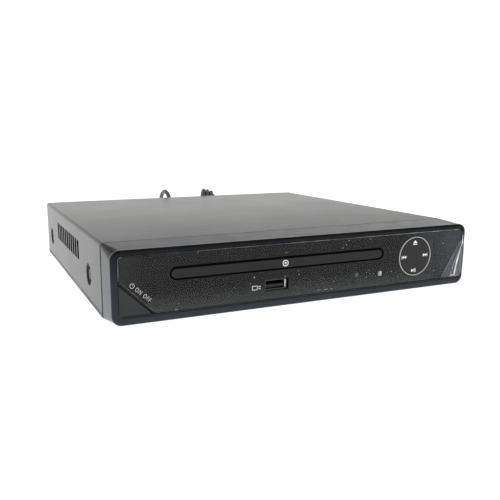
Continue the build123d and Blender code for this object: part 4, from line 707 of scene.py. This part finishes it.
for i in range(34):
    x, z, w = rnd.uniform(-106, 104), rnd.uniform(9.5, 36.5), rnd.uniform(0.10, 0.22)
    if abs(x - XC) < 67 and abs(z - 27.35) < 4.6 or math.hypot(x - PX, z - PZ) < 13 or x + z < -82 or (-29.5 < x < -13 and 11.5 < z < 19.5):
        continue
    dots.append([(x + w * math.cos(a), z + w * math.sin(a)) for a in (0.3, 1.7, 2.9, 4.2, 5.3)])
dim = dots[len(SPECKS):]
flat_shapes("film_dust", dots[:len(SPECKS)], FILM - 0.03, M["dust_and_painted_shade"], "case", thick=0.03)
flat_shapes("film_dust_fine", dim, FILM - 0.03, M["ink_dim"], "case", thick=0.03)
# painted highlights: bright lower end of the film's top edge and its flecks along the bottom
flat_shapes("film_edge_painted_flecks", [sliver([(x - w, z), (x, z + 0.05), (x + w, z - 0.05)], [0.08, 0.30, 0.08]) for x, z, w in
                            ((-80.0, 8.1, 1.1), (6.0, 9.6, 1.2), (10.5, 9.4, 1.5), (14.5, 9.3, 1.2), (-39.5, 38.0, 1.0), (101.4, 38.0, 0.9))],
            FILM - 0.03, M["painted_highlight_dim"], "case", thick=0.03)
# painted highlight: a pale, faintly glowing strip on the port's right inner wall, where it catches the light
UX, UZ = -21.75, 15.65
mesh_object("port_painted_glint", [P(UX + 6.27, 1.75, UZ - 2.1), P(UX + 6.27, 3.15, UZ - 2.1), P(UX + 6.27, 3.15, UZ + 2.1), P(UX + 6.27, 1.75, UZ + 2.1)], [(0, 3, 2, 1)], M["port_painted_highlight"], "case")

# ------------------------------------------------------------------ stage and light
me = bpy.data.meshes.new("floor")
S = 6.0
me.from_pydata([(-S, -S, 0), (S, -S, 0), (S, S, 0), (-S, S, 0)], [], [(0, 1, 2, 3)])
floor = bpy.data.objects.new("floor", me)
scene.collection.objects.link(floor)
fm = surface("floor_white", (0.24, 0.24, 0.24), (0.23, 0.23, 0.23), rough=(0.8, 0.9), scale=3, grain=200, bump=0.0, specular=0.0)
fm.node_tree.nodes["Principled BSDF"].inputs["Emission Color"].default_value = (1, 1, 1, 1)
fm.node_tree.nodes["Principled BSDF"].inputs["Emission Strength"].default_value = 1.03
me.materials.append(fm)

world = bpy.data.worlds.new("world")
scene.world = world
world.use_nodes = True
wt = world.node_tree
bg = wt.nodes["Background"]
tc = wt.nodes.new("ShaderNodeTexCoord")
sep = wt.nodes.new("ShaderNodeSeparateXYZ")
wt.links.new(tc.outputs["Generated"], sep.inputs[0])
mr = wt.nodes.new("ShaderNodeMapRange")
mr.inputs["From Min"].default_value = -0.6
mr.inputs["From Max"].default_value = 0.35
mr.inputs["To Min"].default_value = 0.80
mr.inputs["To Max"].default_value = 1.08
wt.links.new(sep.outputs[1], mr.inputs["Value"])
high = wt.nodes.new("ShaderNodeMapRange")
high.inputs["From Min"].default_value = 0.20
high.inputs["From Max"].default_value = 0.34
high.inputs["To Min"].default_value = 1.0
high.inputs["To Max"].default_value = 0.38
wt.links.new(sep.outputs[2], high.inputs["Value"])
both = wt.nodes.new("ShaderNodeMath")
both.operation = "MULTIPLY"
wt.links.new(mr.outputs["Result"], both.inputs[0])
wt.links.new(high.outputs["Result"], both.inputs[1])
wt.links.new(both.outputs[0], bg.inputs["Strength"])
bg.inputs["Color"].default_value = (0.985, 1.0, 0.978, 1)


def area(name, at, to, size, power):
    l = bpy.data.lights.new(name, "AREA")
    l.shape = "RECTANGLE"
    l.size, l.size_y = size
    l.energy = power
    o = bpy.data.objects.new(name, l)
    scene.collection.objects.link(o)
    o.location = at
    o.rotation_euler = (Vector(to) - Vector(at)).to_track_quat("-Z", "Y").to_euler()
    return o


area("key", (-1.2, 0.4, 1.3), (-0.35, 0.3, 0), (1.2, 1.2), 10)
scene.view_settings.view_transform = "Standard"
scene.view_settings.look = "None"
